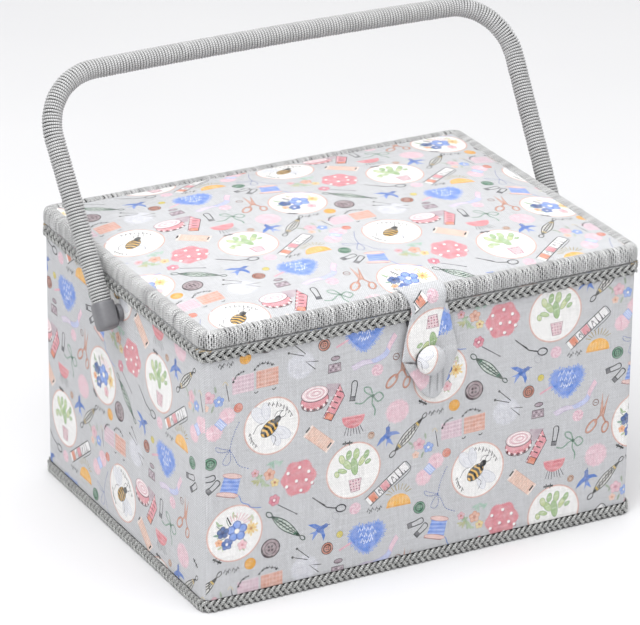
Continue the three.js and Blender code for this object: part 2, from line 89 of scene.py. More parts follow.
JOINTS = {joint["name"]: joint for joint in frame["record"]["behaviour"]["joints"]}
PIVOT_Z = JOINTS["handle_swing"]["pos_m"][2] / MM
CAP_LOW, CAP_HIGH = span("end_cap_right")
PIVOT_X = (CAP_LOW[0] + CAP_HIGH[0]) / 2

# The handle's line, drawn upright about its pivots and leant back.
HANDLE_LEAN = math.radians(34.2)
HANDLE_REACH = 160.3
HANDLE_TOP_HALF = 172
HANDLE_BEND = 40.3
HANDLE_CROWN = 1.4
HANDLE_START = 7
WINDING_RADIUS = 6.7
WINDING_CORD = 0.88
WINDING_PITCH = 2.05

# The wound cord on the lid's rim.
RIM_CORD = 0.66
RIM_PITCH = 1.53

# The camera, on the line that the box was measured along.
CAMERA_AIM = (-20.3, -14.2, 140.4)
CAMERA_DISTANCE = 2700
CAMERA_AZIMUTH = -28.31
CAMERA_ELEVATION = 23.638
CAMERA_ROLL = 0.51
CAMERA_LENS = 231.5


# ---------------------------------------------------------------- colours


def tone(code):
    """A hexadecimal sRGB colour as linear values with full alpha."""
    parts = [int(code[i : i + 2], 16) / 255 for i in (0, 2, 4)]
    linear = [p / 12.92 if p <= 0.04045 else ((p + 0.055) / 1.055) ** 2.4 for p in parts]
    return (*linear, 1.0)


GROUND = "c5c6c9"
WHITE = "efeeed"
TERRACOTTA = "cf9484"
BRICK = "b9584b"
CORAL = "e07a6c"
PEACH = "ecb59c"
PINK = "efc3cb"
ROSE = "e69aa4"
DEEP_ROSE = "cc6878"
LILAC = "c3b5dc"
BLUE = "8fa9de"
DEEP_BLUE = "5b7cc6"
PALE_BLUE = "bccbec"
GREEN = "94b184"
DEEP_GREEN = "55755a"
BOTTLE = "3d6056"
YELLOW = "f0cf62"
AMBER = "e6a93a"
BLACK = "1d1e22"
CHARCOAL = "4b4b52"
BROWN = "8d6259"
DARK_BROWN = "5d4441"
GREY = "8f929c"
SILVER = "b4b8c2"
CREAM = "f1e4cf"


# ---------------------------------------------------------------- drawing in the flat


def turning(degrees):
    """The matrix that turns rows of points anticlockwise."""
    c, s = math.cos(math.radians(degrees)), math.sin(math.radians(degrees))
    return np.array([[c, s], [-s, c]])


def patch(art, points, colour):
    """Adds a filled outline, its points put anticlockwise."""
    points = np.array(points, float)
    if len(points) == 4:
        away = points - points.mean(0)
        points = points[np.argsort(np.arctan2(away[:, 1], away[:, 0]))]
    x, y = points[:, 0], points[:, 1]
    if x @ np.roll(y, -1) < y @ np.roll(x, -1):
        points = points[::-1]
    art.append((points, colour))


def dot(art, x, y, radius, colour, tall=None, tilt=0, sides=12):
    """Adds an ellipse, tall being its other half-width and tilt its turn in degrees."""
    tall = radius if tall is None else tall
    angles = np.arange(sides) * TURN / sides
    px = radius * np.cos(angles)
    py = tall * np.sin(angles)
    c, s = math.cos(math.radians(tilt)), math.sin(math.radians(tilt))
    patch(art, np.stack([x + px * c - py * s, y + px * s + py * c], 1), colour)


def line(art, points, width, colour, closed=False):
    """Adds a stroke, as one four-sided piece for each stretch of it."""
    points = np.array(points, float)
    if closed:
        ahead = np.roll(points, -1, 0) - np.roll(points, 1, 0)
    else:
        ahead = np.gradient(points, axis=0)
    ahead /= np.maximum(np.linalg.norm(ahead, axis=1), 1e-9)[:, None]
    side = np.stack([-ahead[:, 1], ahead[:, 0]], 1) * width / 2
    left = points + side
    right = points - side
    count = len(points)
    for i in range(count if closed else count - 1):
        j = (i + 1) % count
        patch(art, [left[i], right[i], right[j], left[j]], colour)


def bend(points, steps=5):
    """Points along a smooth curve through the ones given."""
    points = np.array(points, float)
    padded = np.vstack([2 * points[0] - points[1], points, 2 * points[-1] - points[-2]])
    out = []
    for i in range(1, len(padded) - 2):
        a, b, c, d = padded[i - 1 : i + 3]
        for t in np.arange(steps) / steps:
            out.append(
                0.5 * (2 * b + (c - a) * t + (2 * a - 5 * b + 4 * c - d) * t * t)
                + 0.5 * (3 * b - a - 3 * c + d) * t**3
            )
    out.append(points[-1])
    return np.array(out)


def circle(art, x, y, radius, width, colour, sides=20, tall=None):
    """Adds a ring drawn as a stroke."""
    tall = radius if tall is None else tall
    angles = np.arange(sides) * TURN / sides
    points = np.stack([x + radius * np.cos(angles), y + tall * np.sin(angles)], 1)
    line(art, points, width, colour, closed=True)


def dashes(art, points, width, colour, share=0.6):
    """Adds a running stitch, one stroke on each stretch."""
    points = np.array(points, float)
    for a, b in zip(points[:-1], points[1:]):
        line(art, [a, a + (b - a) * share], width, colour)


def blossom(art, x, y, size, petal, heart, petals=5, rim=None):
    """Adds a flower with round petals."""
    for k in range(petals):
        a = TURN * (k + 0.25) / petals
        px, py = x + size * 0.62 * math.cos(a), y + size * 0.62 * math.sin(a)
        dot(art, px, py, size * 0.46, rim or petal, sides=9)
        dot(art, px, py, size * 0.36, petal, sides=9)
    dot(art, x, y, size * 0.27, heart, sides=8)


def leaf(art, x, y, length, tilt, colour):
    dot(art, x, y, length / 2, colour, tall=length / 6, tilt=tilt, sides=8)


# ---------------------------------------------------------------- the print's motifs


def strokes(art, curves, width, colour):
    """Adds smooth strokes through the given points."""
    for curve in curves:
        line(art, bend(curve, 3), width, colour)


def shape(art, points, fill, edge, width=0.5):
    """Adds a filled outline with a drawn edge."""
    patch(art, points, fill)
    line(art, points, width, edge, closed=True)


def fringe(art, points, reach, width, colour):
    """Adds short strokes that stand out all round an outline."""
    points = np.array(points, float)
    ahead = np.roll(points, -1, 0) - np.roll(points, 1, 0)
    ahead /= np.linalg.norm(ahead, axis=1)[:, None]
    out = np.stack([ahead[:, 1], -ahead[:, 0]], 1)
    for k, (point, away) in enumerate(zip(points, out)):
        line(art, [point - away, point + away * reach * (0.7 + 0.3 * (k % 3))], width, colour)


def stitches(art, points, size, width, colour):
    """Adds a row of small up-and-down stitches along a line."""
    points = bend(points, 5)
    for k in range(0, len(points) - 1, 2):
        x, y = points[k]
        tall = size * (0.6 + 0.4 * ((k // 2) % 3) / 2)
        line(art, [(x - 0.5, y - tall / 2), (x + 0.3, y + tall / 2), (x + 0.9, y - tall / 3)], width, colour)


def oval(x, y, wide, tall, tilt=0, sides=24):
    angles = np.arange(sides) * TURN / sides
    spin = turning(tilt)
    return np.stack([wide * np.cos(angles), tall * np.sin(angles)], 1) @ spin + np.array([x, y])


def pin(art, foot, tip, width=0.55):
    """Adds a pin with a round head at its foot."""
    line(art, [foot, tip], width, BLACK)
    dot(art, foot[0], foot[1], width * 1.7, BLACK, sides=8)


def hoop(art):
    dot(art, 0, 0, 19.9, "d2aaa0", sides=64)
    dot(art, 0, 0, 19.1, "ecd6cf", sides=64)
    dot(art, 0, 0, 18.7, WHITE, sides=64)


def bee_hoop():
    art = []
    hoop(art)
    for x, y, wide, tall, tilt in ((-9, 9, 7.0, 3.9, 128), (-4, 11, 6.0, 3.0, 98), (7, -6, 7.4, 3.9, -30), (3, -9.4, 5.6, 2.8, -66)):
        patch(art, oval(x, y, wide, tall, tilt), "e4e5ea")
        line(art, oval(x, y, wide, tall, tilt), 0.35, "b9bcc8", closed=True)
        line(art, oval(x * 0.9, y * 0.9, wide * 0.5, tall * 0.5, tilt, 12), 0.3, "c6c9d3", closed=True)
    strokes(art, [[(-6, 3), (-10, 2), (-13, -3)], [(0, -6), (3, -9), (1, -14)], [(2, 6), (4, 9), (8, 9)]], 0.4, CHARCOAL)
    body = oval(-1.6, -1.4, 7.2, 4.7, 40, 30)
    patch(art, body, BLACK)
    patch(art, oval(-1.6, -1.4, 6.8, 4.3, 40, 30), "e9b95c")
    spin = turning(40)
    for along, half in ((-5.0, 2.7), (-1.9, 4.2), (1.3, 4.2), (4.4, 3.2)):
        band = np.array([(along - 0.7, half), (along + 0.7, 0), (along - 0.5, -half)]) @ spin + np.array([-1.6, -1.4])
        line(art, bend(band, 4), 1.75, BLACK)
    patch(art, oval(4.2, 3.9, 2.7, 2.2, 40, 14), BLACK)
    strokes(art, [[(5.4, 5), (6.4, 8), (8.4, 9)], [(6.2, 4.4), (9, 5), (10.4, 7)]], 0.45, BLACK)
    stitches(art, [(-2, 15.6), (5, 13.6), (10.6, 9.6), (14.6, 3.6)], 3.6, 0.62, BLACK)
    stitches(art, [(-15.6, -3), (-13.8, -8.6), (-9.4, -13.4)], 3.4, 0.62, BLACK)
    return art


CACTUS_PADS = (
    (0.6, 2.6, 2.5, 6.2, 8), (-4.6, 5.0, 2.2, 4.4, 38), (-8.4, 9.2, 2.0, 3.3, 18), (-3.4, 11.4, 1.9, 3.2, -10),
    (2.0, 11.2, 2.1, 3.8, -8), (6.4, 6.0, 1.9, 4.2, -34), (9.4, 9.6, 1.7, 2.9, -22), (-8.0, 1.0, 1.5, 3.4, 70),
    (-12.0, -0.6, 1.6, 2.2, 20), (10.4, 4.2, 1.3, 2.2, -60),
)


def cactus_hoop():
    art = []
    hoop(art)
    for k, (x, y, wide, tall, tilt) in enumerate(CACTUS_PADS):
        pad = oval(x, y, wide, tall, tilt, 16)
        patch(art, pad, ("a4bf8e", "bccf9c", "cdd6a4")[k % 3])
        line(art, pad, 0.42, "7f9f6d", closed=True)
        up = np.array([(0, -tall * 0.6), (0, tall * 0.6)]) @ turning(tilt) + np.array([x, y])
        dashes(art, bend(up, 4), 0.4, "6b8f5f", 0.5)
        line(art, [(x - wide * 0.6, y), (x + wide * 0.6, y + 0.8)], 0.35, "e9efdc")
    shape(art, [(-3.4, -6.4), (5.8, -6.4), (4.6, -15.0), (-1.6, -15.4)], "e6cdd2", "8d6272", 0.5)
    for row in range(4):
        for column in range(4):
            x = -2.2 + 2.0 * column + 0.25 * row
            dot(art, x, -7.6 - 2.0 * row, 0.68, "84465e" if (row + column) % 2 else "c98799", sides=4, tilt=45)
    return art


def flower_hoop():
    art = []
    hoop(art)
    strokes(art, [[(-13, 8), (-9, 4), (-4, 2)], [(-6, 11), (-4.6, 7), (-2.6, 4)], [(-12, -3), (-7, -2)], [(9, -9), (6, -5)]], 0.5, "55775f")
    for x, y, tilt, colour in ((-12, 9, 120, "9db58d"), (-13, 1, 170, "86a594"), (-10, -8, 200, "b8c4a0"), (4, -11, 260, "b8c4a0"), (11, 9, 40, "c9d0b0"), (-1, 13, 90, "b8c4a0")):
        leaf(art, x, y, 5.0, tilt, colour)
        leaf(art, x + 1.8, y - 1.2, 4.0, tilt + 50, colour)
    for k in range(9):
        a = math.radians(20 + 14 * k)
        line(art, [(1 + 6 * math.cos(a), 4 + 5 * math.sin(a)), (2 + 11 * math.cos(a), 4 + 10 * math.sin(a))], 0.6, "e3b4bd")
    for k in range(12):
        a = TURN * k / 12
        reach = 5.6 if k % 2 else 4.0
        line(art, [(11.6, 1), (11.6 + reach * math.cos(a), 1 + reach * math.sin(a))], 1.3, "ecd394" if k % 2 else "e6bd72")
    dot(art, 11.6, 1, 1.2, "c98f4e", sides=8)
    blossom(art, 1.6, 1.2, 7.0, "86a3e2", "f4f1e4", rim="4a68b4")
    blossom(art, -8.4, 2.2, 4.2, "48669f", "2c4072", rim="2c4072")
    blossom(art, -5.6, -6.6, 4.0, "5977b8", "e9e9ee", rim="34508f")
    blossom(art, 5.4, -9.4, 3.4, "ecc3ca", "d68f98", rim="dba9b1")
    blossom(art, -11.4, -4.4, 2.6, "ecb48f", "c97f5d")
    line(art, [(-5.4, 12.4), (-2.6, 6.4)], 0.9, BLACK)
    return art


def blue_heart():
    art = []
    line(art, [(-20.4, -6.6), (-10, -2.4)], 1.5, "dcaab8")
    angles = np.arange(64) * TURN / 64
    x = 12.2 * np.sin(angles) * (1 - 0.12 * np.cos(angles)) ** 0.5
    y = 10.2 * np.cos(angles) + 2.6 * np.abs(np.sin(angles)) ** 1.4 - 1.8 - 1.6 * (np.cos(angles) > 0.86)
    edge = np.stack([x * np.where(y < 0, 1 + y * 0.03, 1), y], 1)[::-1]
    fringe(art, edge, 1.9, 0.8, "7d9add")
    patch(art, edge, "6d90da")
    for k in range(26):
        a, reach = 2.4 * k, 1.9 * math.sqrt(k)
        dot(art, reach * math.cos(a), reach * math.sin(a) - 0.6, 0.6, "4f73c4" if k % 3 else "8aa6e6", sides=6)
    for row, (low, high) in enumerate(((-7, 5), (-6, 7.4), (-4.6, 4.4))):
        for k in range(4):
            px, py = low + (high - low) * (k + 0.5) / 4, 4.6 - 4.4 * row + 0.8 * math.sin(2 * k + row)
            line(art, [(px - 1, py - 1.4), (px + 0.3, py + 1.5), (px + 1.1, py - 1)], 0.65, "dfe6f6")
    return art


def pincushion():
    art = []
    angles = np.arange(48) * TURN / 48 + 0.1
    size = 11.9 + 0.9 * np.cos(6 * angles)
    edge = np.stack([size * np.cos(angles), size * np.sin(angles)], 1)
    fringe(art, edge, 0.7, 0.6, "d5929b")
    patch(art, edge, "d88b94")
    for k in range(60):
        a, reach = 2.4 * k, 1.45 * math.sqrt(k)
        dot(art, reach * math.cos(a), reach * math.sin(a), 0.45, "c97983" if k % 2 else "e2a0a8", sides=5)
    for x, y in ((-7.6, 4.6), (0.6, 7.2), (7.2, 3.0), (-1.6, -2.0), (-8.6, -4.6), (5.4, -2.6), (1.6, -9.2), (9.6, -5.4)):
        dot(art, x + 0.4, y - 0.5, 1.25, "b06d7c", sides=9)
        dot(art, x, y, 1.2, WHITE, sides=9)
    return art


def tape_coil():
    art = []
    patch(art, [(4, 11.4), (15, 9.6), (8, 1.6), (4, 3)], "b6a5ae")
    patch(art, oval(-4.4, 1.4, 10.2, 6.6, 0, 30), "2d2527")
    patch(art, oval(-4.4, 1.6, 9.8, 6.2, 0, 30), "dc959d")
    for k in range(11):
        a = math.radians(-168 + 15.5 * k)
        x, y = -4.4 + 9.3 * math.cos(a), 0.6 + 5.6 * math.sin(a)
        patch(art, [(x - 0.8, y - 0.6), (x + 0.6, y - 0.8), (x + 0.7, y + 1.2), (x - 0.7, y + 1.4)], "6d3038" if k % 2 else "efe0e2")
    line(art, bend(oval(-4.4, -0.2, 9.6, 5.6, 0, 24)[12:24], 2), 0.5, "4a2a30")
    patch(art, oval(-4.4, 6.0, 9.9, 5.6, 0, 30), "5d4a50")
    patch(art, oval(-4.4, 6.2, 9.4, 5.2, 0, 30), "e9cfd4")
    for k in range(5):
        line(art, oval(-4.4 + 0.3 * k, 6.2, 8.0 - 1.7 * k, 4.3 - 0.95 * k, 0, 20), 0.5, "d5a3ad" if k % 2 else "faf3f3", closed=True)
    strip = [(13.6, 9.0), (17.0, 0.4), (7.6, -15.4), (1.6, -12.0)]
    shape(art, strip, "dd919a", "43272c", 0.55)
    for k in range(6):
        x, y = 13.2 - 1.9 * k, 4.6 - 3.4 * k
        line(art, [(x, y), (x + 3.0, y - 1.7)], 0.8, "43272c")
        line(art, [(x - 1.6, y + 1.4), (x - 0.2, y + 0.4)], 0.8, "efe0e2")
    shape(art, [(5.0, -8.6), (9.6, -11.0), (7.8, -15.0), (2.4, -12.6)], "dd8468", "43272c", 0.6)
    return art


def clasp(art, x, y, length, tilt):
    """A closed safety pin: a long loop with a cap."""
    spin = turning(tilt)
    ring = [(-length, -1.6), (0, -2.0), (length * 0.8, -1.9), (length, 0), (length * 0.8, 1.9), (0, 1.6), (-length, 1.5)]
    line(art, bend(ring, 3) @ spin + np.array([x, y]), 0.75, BLACK)
    cap = np.array([(-length - 1.0, -1.9), (-length + 2.0, -1.9), (-length + 2.0, 1.9), (-length - 1.0, 1.9)])
    shape(art, cap @ spin + np.array([x, y]), "63646a", BLACK, 0.6)


def safety_pin():
    art = []
    clasp(art, 0, 0, 6.4, 82)
    return art


def pin_pair():
    art = []
    clasp(art, -2, 3, 5.4, 12)
    clasp(art, 2.2, -2.6, 5.0, 40)
    return art


def green_bow():
    art = []
    loops = [
        [(0, 0), (-5.4, 3.6), (-6.2, 7.0), (-2.0, 6.0), (0, 0)],
        [(0, 0), (4.6, 1.8), (7.6, -2.0), (3.6, -4.6), (0, 0)],
        [(0, 0), (-3.0, -0.4), (-8.0, -3.6), (-13.0, -2.4)],
        [(0, 0), (-0.6, -5.0), (1.6, -9.6), (1.2, -14.0)],
    ]
    strokes(art, loops, 0.95, "4b7460")
    strokes(art, loops, 0.3, "9cbba8")
    dot(art, 0, 0, 1.3, "3c6350", sides=8)
    return art


def coral_cushion():
    art = []
    for k in range(7):
        x = -6 + 2.0 * k
        line(art, [(x * 0.8, -3.4), (x * 1.15 + 0.4, -8.6 - 0.7 * (k % 3))], 0.5, CHARCOAL)
    angles = np.linspace(math.pi, TURN, 14)
    bowl = np.stack([8.2 * np.cos(angles), 3.6 + 8.2 * np.sin(angles)], 1)
    patch(art, bowl, "d8878e")
    for k in range(5):
        line(art, [(-6.2 + 0.7 * k, 3.0 - 1.6 * k), (6.2 - 0.7 * k, 2.6 - 1.6 * k)], 0.5, "e6a4a8" if k % 2 else "c97780")
    line(art, [(-8.2, 3.8), (8.2, 3.4)], 1.0, "e3a6ab")
    return art


def peach_spool():
    art = []
    shape(art, [(-4.3, -9.6), (4.3, -9.6), (4.3, 9.6), (-4.3, 9.6)], "e5c4b4", "cfa595", 0.4)
    for k in range(9):
        line(art, [(-4.0, -8.4 + 2.1 * k), (4.0, -8.0 + 2.1 * k)], 0.35, "d3ab9c")
    for y in (-10.4, 10.4):
        line(art, [(-4.6, y), (4.6, y)], 1.5, "ecd9cf")
        line(art, [(-1.6, y + 0.9), (2.6, y + 0.9)], 1.2, BLACK)
    return art


def blue_spool():
    art = []
    strokes(art, [[(5, -5), (9, -7), (12, -11), (17, -12), (20, -14), (27, -13.4)]], 0.6, "5a7cc4")
    patch(art, [(-6, -5.2), (7, -5.2), (6.2, 5.2), (-5.4, 5.2)], "7e9ce0")
    for k in range(8):
        line(art, [(-6, -4.8 + 1.35 * k), (6.4, -4.0 + 1.35 * k)], 0.45, "5a7ccb" if k % 2 else "a9bdec")
    for y, wide in ((6.4, 7.0), (-6.6, 8.0)):
        shape(art, oval(0, y, wide, 1.7, 0, 20), "e3c3bd", "b98a84", 0.4)
    line(art, [(-8, -7.8), (6, -8.4)], 0.5, "8d5f62")
    return art


def dashed_bow():
    art = []
    for curve in (
        [(0, 0), (-5.6, 2.0), (-9.6, 4.0), (-9.0, 0.8), (-4.0, -0.8), (0, 0)],
        [(0, 0), (-3.4, -4.4), (-5.0, -8.4), (-1.6, -10.0), (0.6, -6.6), (0, 0)],
        [(0, 0), (1.6, 7.0), (4.0, 13.0), (7.0, 18.6)],
        [(0, 0), (3.0, -5.4), (6.4, -12.0), (14.0, -16.0)],
    ):
        dashes(art, bend(curve, 4), 0.62, "5569a5", 0.62)
    return art


def sweet_bow():
    art = []
    for side in (-1, 1):
        blob = oval(side * 6.6, side * 0.6, 5.4, 5.2, 0, 26)
        fringe(art, blob, 0.8, 0.7, "e2bcc8")
        patch(art, blob, "e5c2cc")
        for k in range(5):
            a = 1.3 * k
            line(art, [(side * 6.6, 0), (side * 6.6 + 4.4 * math.cos(a), 4.2 * math.sin(a))], 0.5, "dba9b8" if k % 2 else "efd7de")
    shape(art, [(-2.6, -3.6), (2.6, -3.6), (2.6, 3.6), (-2.6, 3.6)], "aebfe8", "8aa0d6", 0.4)
    for x in (-1.3, 0, 1.3):
        line(art, [(x, -3.4), (x, 3.4)], 0.45, "dfe5f5")
    return art


def button(radius, face, dark, ring):
    art = []
    dot(art, 0, 0, radius, dark, sides=22)
    dot(art, 0, 0, radius * 0.88, face, sides=22)
    circle(art, 0, 0, radius * 0.6, radius * ring, dark, sides=18)
    for k in range(4):
        a = TURN * (k + 0.5) / 4
        dot(art, radius * 0.25 * math.cos(a), radius * 0.25 * math.sin(a), radius * 0.13, dark, sides=6)
    return art


def coral_button():
    return button(3.2, "df9382", "b5614f", 0.16)


def brown_button():
    art = button(6.9, "9c8b90", "44383d", 0.07)
    line(art, bend(oval(0, 0, 5.9, 5.9, 0, 24)[12:20], 2), 1.1, "44383d")
    return art


def red_button():
    return button(4.4, "c5836f", "40231f", 0.2)


def orange_button():
    art = button(4.1, "ecb04b", "d99a3c", 0.1)
    for k in range(12):
        a = TURN * k / 12
        line(art, [(2.0 * math.cos(a), 2.0 * math.sin(a)), (4.0 * math.cos(a), 4.0 * math.sin(a))], 0.4, "c98a34")
    return art


def green_button():
    return button(4.4, "6d9c82", "234a38", 0.22)


def tiny_button():
    return button(2.6, "d9bda9", "7a5140", 0.2)


def yellow_dot():
    return button(2.5, "e9d65e", "6b6a33", 0.1)


def flower_button():
    art = []
    blossom(art, 0, 0, 3.9, "d98c9b", "f0dde0", petals=6, rim="b9667a")
    circle(art, 0, 0, 1.5, 0.5, "a9566b", sides=10)
    return art


def ring_mark():
    art = []
    circle(art, 0, 0, 2.2, 0.65, "7d5a52", sides=14)
    line(art, [(-1.2, 0.4), (1.2, -0.6)], 0.5, "7d5a52")
    return art


def thread_cards():
    art = []
    for x, y, wide, colour, dark, light in (
        (-10.6, -1.2, 7.6, "d3b9c4", "c2a3b1", "e0cdd5"), (6.4, -0.4, 7.8, "d6a293", "c38877", "e3bcae"),
    ):
        card = [(x - wide, y - 6.2), (x + wide, y - 6.0), (x + wide, y + 6.2), (x - wide, y + 5.6)]
        patch(art, card, colour)
        for k in range(9):
            line(art, [(x - wide, y - 5.4 + 1.35 * k), (x + wide, y - 5.0 + 1.35 * k)], 0.35, dark if k % 2 else light)
        for k in range(6):
            line(art, [(x - 6.4 + 2.4 * k, y - 6), (x - 6.2 + 2.4 * k, y + 6)], 0.3, light)
    for curve in ([(-17.6, 1.6), (-15.0, 5.4), (-10.4, 7.4)], [(-2.6, 7.0), (1.6, 10.0), (6.6, 9.6), (11.0, 7.2)]):
        stitches(art, curve, 2.2, 0.6, BLACK)
        for x, y in bend(curve, 3)[::2]:
            dot(art, x, y - 0.4, 0.7, BLACK, sides=7)
    for x in (-1.6, 11.0):
        line(art, bend([(x - 1.2, -8.8), (x, -9.6), (x + 1.6, -8.4)], 3), 0.7, BLACK)
    return art


def pompom(radius, colour, shade, light):
    art = []
    edge = oval(0, 0, radius, radius * 0.96, 0, 40)
    fringe(art, edge, 0.9, 0.7, colour)
    patch(art, edge, colour)
    for k in range(34):
        a, reach = 2.4 * k, radius * math.sqrt(k / 38)
        x, y = reach * math.cos(a), reach * math.sin(a)
        line(art, [(x, y), (x + 1.3 * math.cos(a + 0.5), y + 1.3 * math.sin(a + 0.5))], 0.5, shade if k % 2 else light)
    return art


def white_pompom():
    art = pompom(9.2, "cfd0d7", "c0c2cb", "dfe0e6")
    pin(art, (-5.5, 15.5), (3.5, 7.0))
    pin(art, (-8.6, 10.0), (2.2, 6.0))
    line(art, [(12.4, 0.4), (3.4, 1.8), (10.4, -4.8)], 0.65, BLACK)
    return art


def pink_pompom():
    return pompom(7.9, "e0bfc9", "d3a8b6", "ebd3da")


def pink_dot():
    return pompom(3.3, "e0bcc9", "d3a8b6", "ebd3da")


def thimble():
    art = []
    shape(art, [(-4.6, -4.6), (4.8, -4.6), (4.4, 1.2), (-4.2, 1.2)], "a3929c", "4d4047", 0.6)
    for row in range(2):
        for k in range(4):
            dot(art, -2.8 + 1.9 * k, -2.9 + 2.4 * row, 0.7, "cdbfc7" if (k + row) % 2 else "6d5c66", sides=6)
    shape(art, oval(0.6, 4.8, 3.1, 1.5, 0, 14), "a3929c", "4d4047", 0.6)
    return art


def ribbon():
    art = []
    middle = bend([(-22, -9), (-14, -6.4), (-6, -6.6), (2, -3.4), (5, 2.6), (9, 8.6)], 4)
    wide = np.array([1.2, -1.6])
    for k, (a, b) in enumerate(zip(middle[:-1], middle[1:])):
        colour = ("d3c9da", "b9c1e2", "e2c3cf")[(k // 7) % 3]
        patch(art, [a + wide, b + wide, b - wide, a - wide], colour)
    line(art, middle + wide, 0.35, "b3a6c4")
    line(art, middle - wide, 0.35, "b3a6c4")
    return art


def handle_ring(art, x, y, wide, tall, tilt, width, colour):
    line(art, oval(x, y, wide, tall, tilt, 18), width, colour, closed=True)


def terracotta_scissors():
    art = []
    for blade in ([(1, 3), (2.6, 19), (3.8, 3)], [(1.4, 2), (7.6, 17), (4.0, 2)]):
        shape(art, blade, "cfa08e", "96644f", 0.45)
    line(art, [(2.0, 4), (-3.0, -1.6)], 1.3, "b98471")
    line(art, [(2.4, 4), (5.4, -2.4)], 1.3, "b98471")
    handle_ring(art, -5.4, -3.6, 5.0, 2.4, 46, 1.2, "c48d78")
    handle_ring(art, -5.4, -3.6, 5.7, 3.1, 46, 0.35, "8d5f4e")
    handle_ring(art, 5.4, -6.4, 3.6, 2.1, 70, 1.2, "c48d78")
    handle_ring(art, 5.4, -6.4, 4.2, 2.7, 70, 0.35, "8d5f4e")
    return art


def black_snips():
    art = []
    patch(art, [(-12.6, 7.8), (-4.6, 0.6), (-2.2, -2.0), (-3.4, 0.8)], BLACK)
    line(art, [(-12.6, 7.8), (-2.2, -1.4)], 0.8, BLACK)
    line(art, bend([(-2.2, -1.4), (2, -2.8), (5, -3.6)], 3), 0.9, BLACK)
    handle_ring(art, 8.2, -4.4, 3.6, 2.5, -8, 0.95, "33343a")
    handle_ring(art, 4.6, -9.2, 3.0, 2.1, -50, 0.5, "a6a7ae")
    return art


def skein(fill, dark, tie):
    """A twisted skein of thread, tied near both ends and looped at its tips."""
    art = []
    patch(art, [(-14, 0), (-8, 2.2), (-1, 3.1), (7, 2.0), (14, 0), (7, -2.0), (-1, -3.1), (-8, -2.2)], fill)
    for side in (-1, 1):
        for bow in (0.9, 3.1):
            curve = [(-14, 0), (-8, side * bow * 0.7), (-1, side * bow), (7, side * bow * 0.62), (14, 0)]
            line(art, bend(curve, 4), 0.7, dark)
    for x in (-6.6, -3.4, -0.2, 3.0, 6.2):
        line(art, bend([(x - 1.6, -2.0), (x, 0.2), (x + 1.9, 1.9)], 3), 0.6, dark)
    for x in (-9.4, 9.0):
        line(art, [(x - 0.2, -1.6), (x + 0.2, 1.6)], 1.2, tie)
    for x, size in ((-16.2, 2.6), (16.0, 2.1)):
        line(art, oval(x, 0, size, size * 0.62, 0, 16), 0.75, dark, closed=True)
    return art


def green_skein():
    return skein("c3cec6", "1f3d30", "3c6853")


def yellow_skein():
    return skein("d9d8d4", "2a2928", "cdb05a")


def needle():
    art = []
    line(art, [(-7.4, 4.8), (6.6, -5.0)], 0.65, CHARCOAL)
    line(art, [(5.0, -3.9), (6.6, -5.0)], 1.0, CHARCOAL)
    return art


def black_stitches():
    art = []
    for x in (-3, 3):
        for dx, dy in ((-1.6, 0.8), (0, -0.6), (1.4, 0.9)):
            line(art, [(x + dx - 0.9, dy - 1.2), (x + dx + 0.2, dy + 1.2), (x + dx + 1.0, dy - 0.5)], 0.65, BLACK)
    return art


def black_mark():
    art = []
    line(art, [(-3, 2.0), (3, -2.0)], 1.3, BLACK)
    for x in (-1.4, 1.2):
        line(art, [(x - 1, -x * 0.66 - 1.4), (x + 1, -x * 0.66 + 1.4)], 0.7, BLACK)
    return art


def swallow():
    art = []
    patch(art, [(-0.8, 6.0), (1.4, 5.2), (2.4, -1.0), (-0.4, -3.0), (-1.8, 0.4)], "4668ae")
    patch(art, [(0.8, 2.8), (6.6, 2.2), (9.4, -0.4), (5.0, 0.0), (1.4, -0.6)], "5579c2")
    patch(art, [(-0.6, 2.6), (-5.4, -1.0), (-8.0, -6.0), (-3.4, -3.2), (0.2, -0.8)], "5579c2")
    patch(art, [(-0.4, -2.0), (-1.2, -8.0), (0.4, -4.6), (4.6, -7.4), (1.8, -1.8)], "6d8cd0")
    dot(art, 0.2, 5.2, 1.6, "4668ae", sides=9)
    line(art, [(0.4, 6.4), (1.2, 8.0)], 0.5, "34508f")
    return art


def sprig():
    art = []
    for x, y, tilt, colour in ((-6, 3, 120, "93aa8d"), (-4, 0, 60, "a9b99a"), (-7, -1, 170, "b3b48c"), (4, 9, 20, "9fbcae"), (-1, -4, 260, "a9b99a"), (9, 9, 150, "a4c0b2")):
        for k in range(3):
            leaf(art, x + 1.2 * k, y - 0.8 * k, 5.4, tilt + 38 * k, colour)
    strokes(art, [[(-2, -6), (-3, 0), (-5, 6)], [(0, -5), (4, 2), (6, 8)]], 0.4, "8fa58a")
    for x, y, size, petal, rim in ((3.6, 1.4, 4.0, "deb09c", "c98c74"), (7.4, -5.0, 3.0, "e3cf9c", "c9ae6c"), (-6.6, 4.4, 2.8, "d9aeb6", "c48d98")):
        blossom(art, x, y, size, petal, "b9705a", rim=rim)
    return art


def pink_sprig():
    art = []
    for x, y, tilt in ((-8, 3, 140), (-6, 1, 60), (1, -7, 250), (3, 6, 100)):
        leaf(art, x, y, 5.0, tilt, "9aa795")
    blossom(art, -1.6, 1.0, 4.2, "deb8c2", "c98f9e", rim="cfa0ac")
    blossom(art, 5.4, -2.6, 3.6, "8fa8dd", "e9e6da", rim="6c88c8")
    blossom(art, -4.0, -6.0, 2.6, "e2bfae", "c98f74")
    strokes(art, [[(8, 8), (10, 10), (12, 7)]], 0.5, "cbb98c")
    line(art, [(10.4, 8), (12.6, -4)], 0.65, CHARCOAL)
    return art


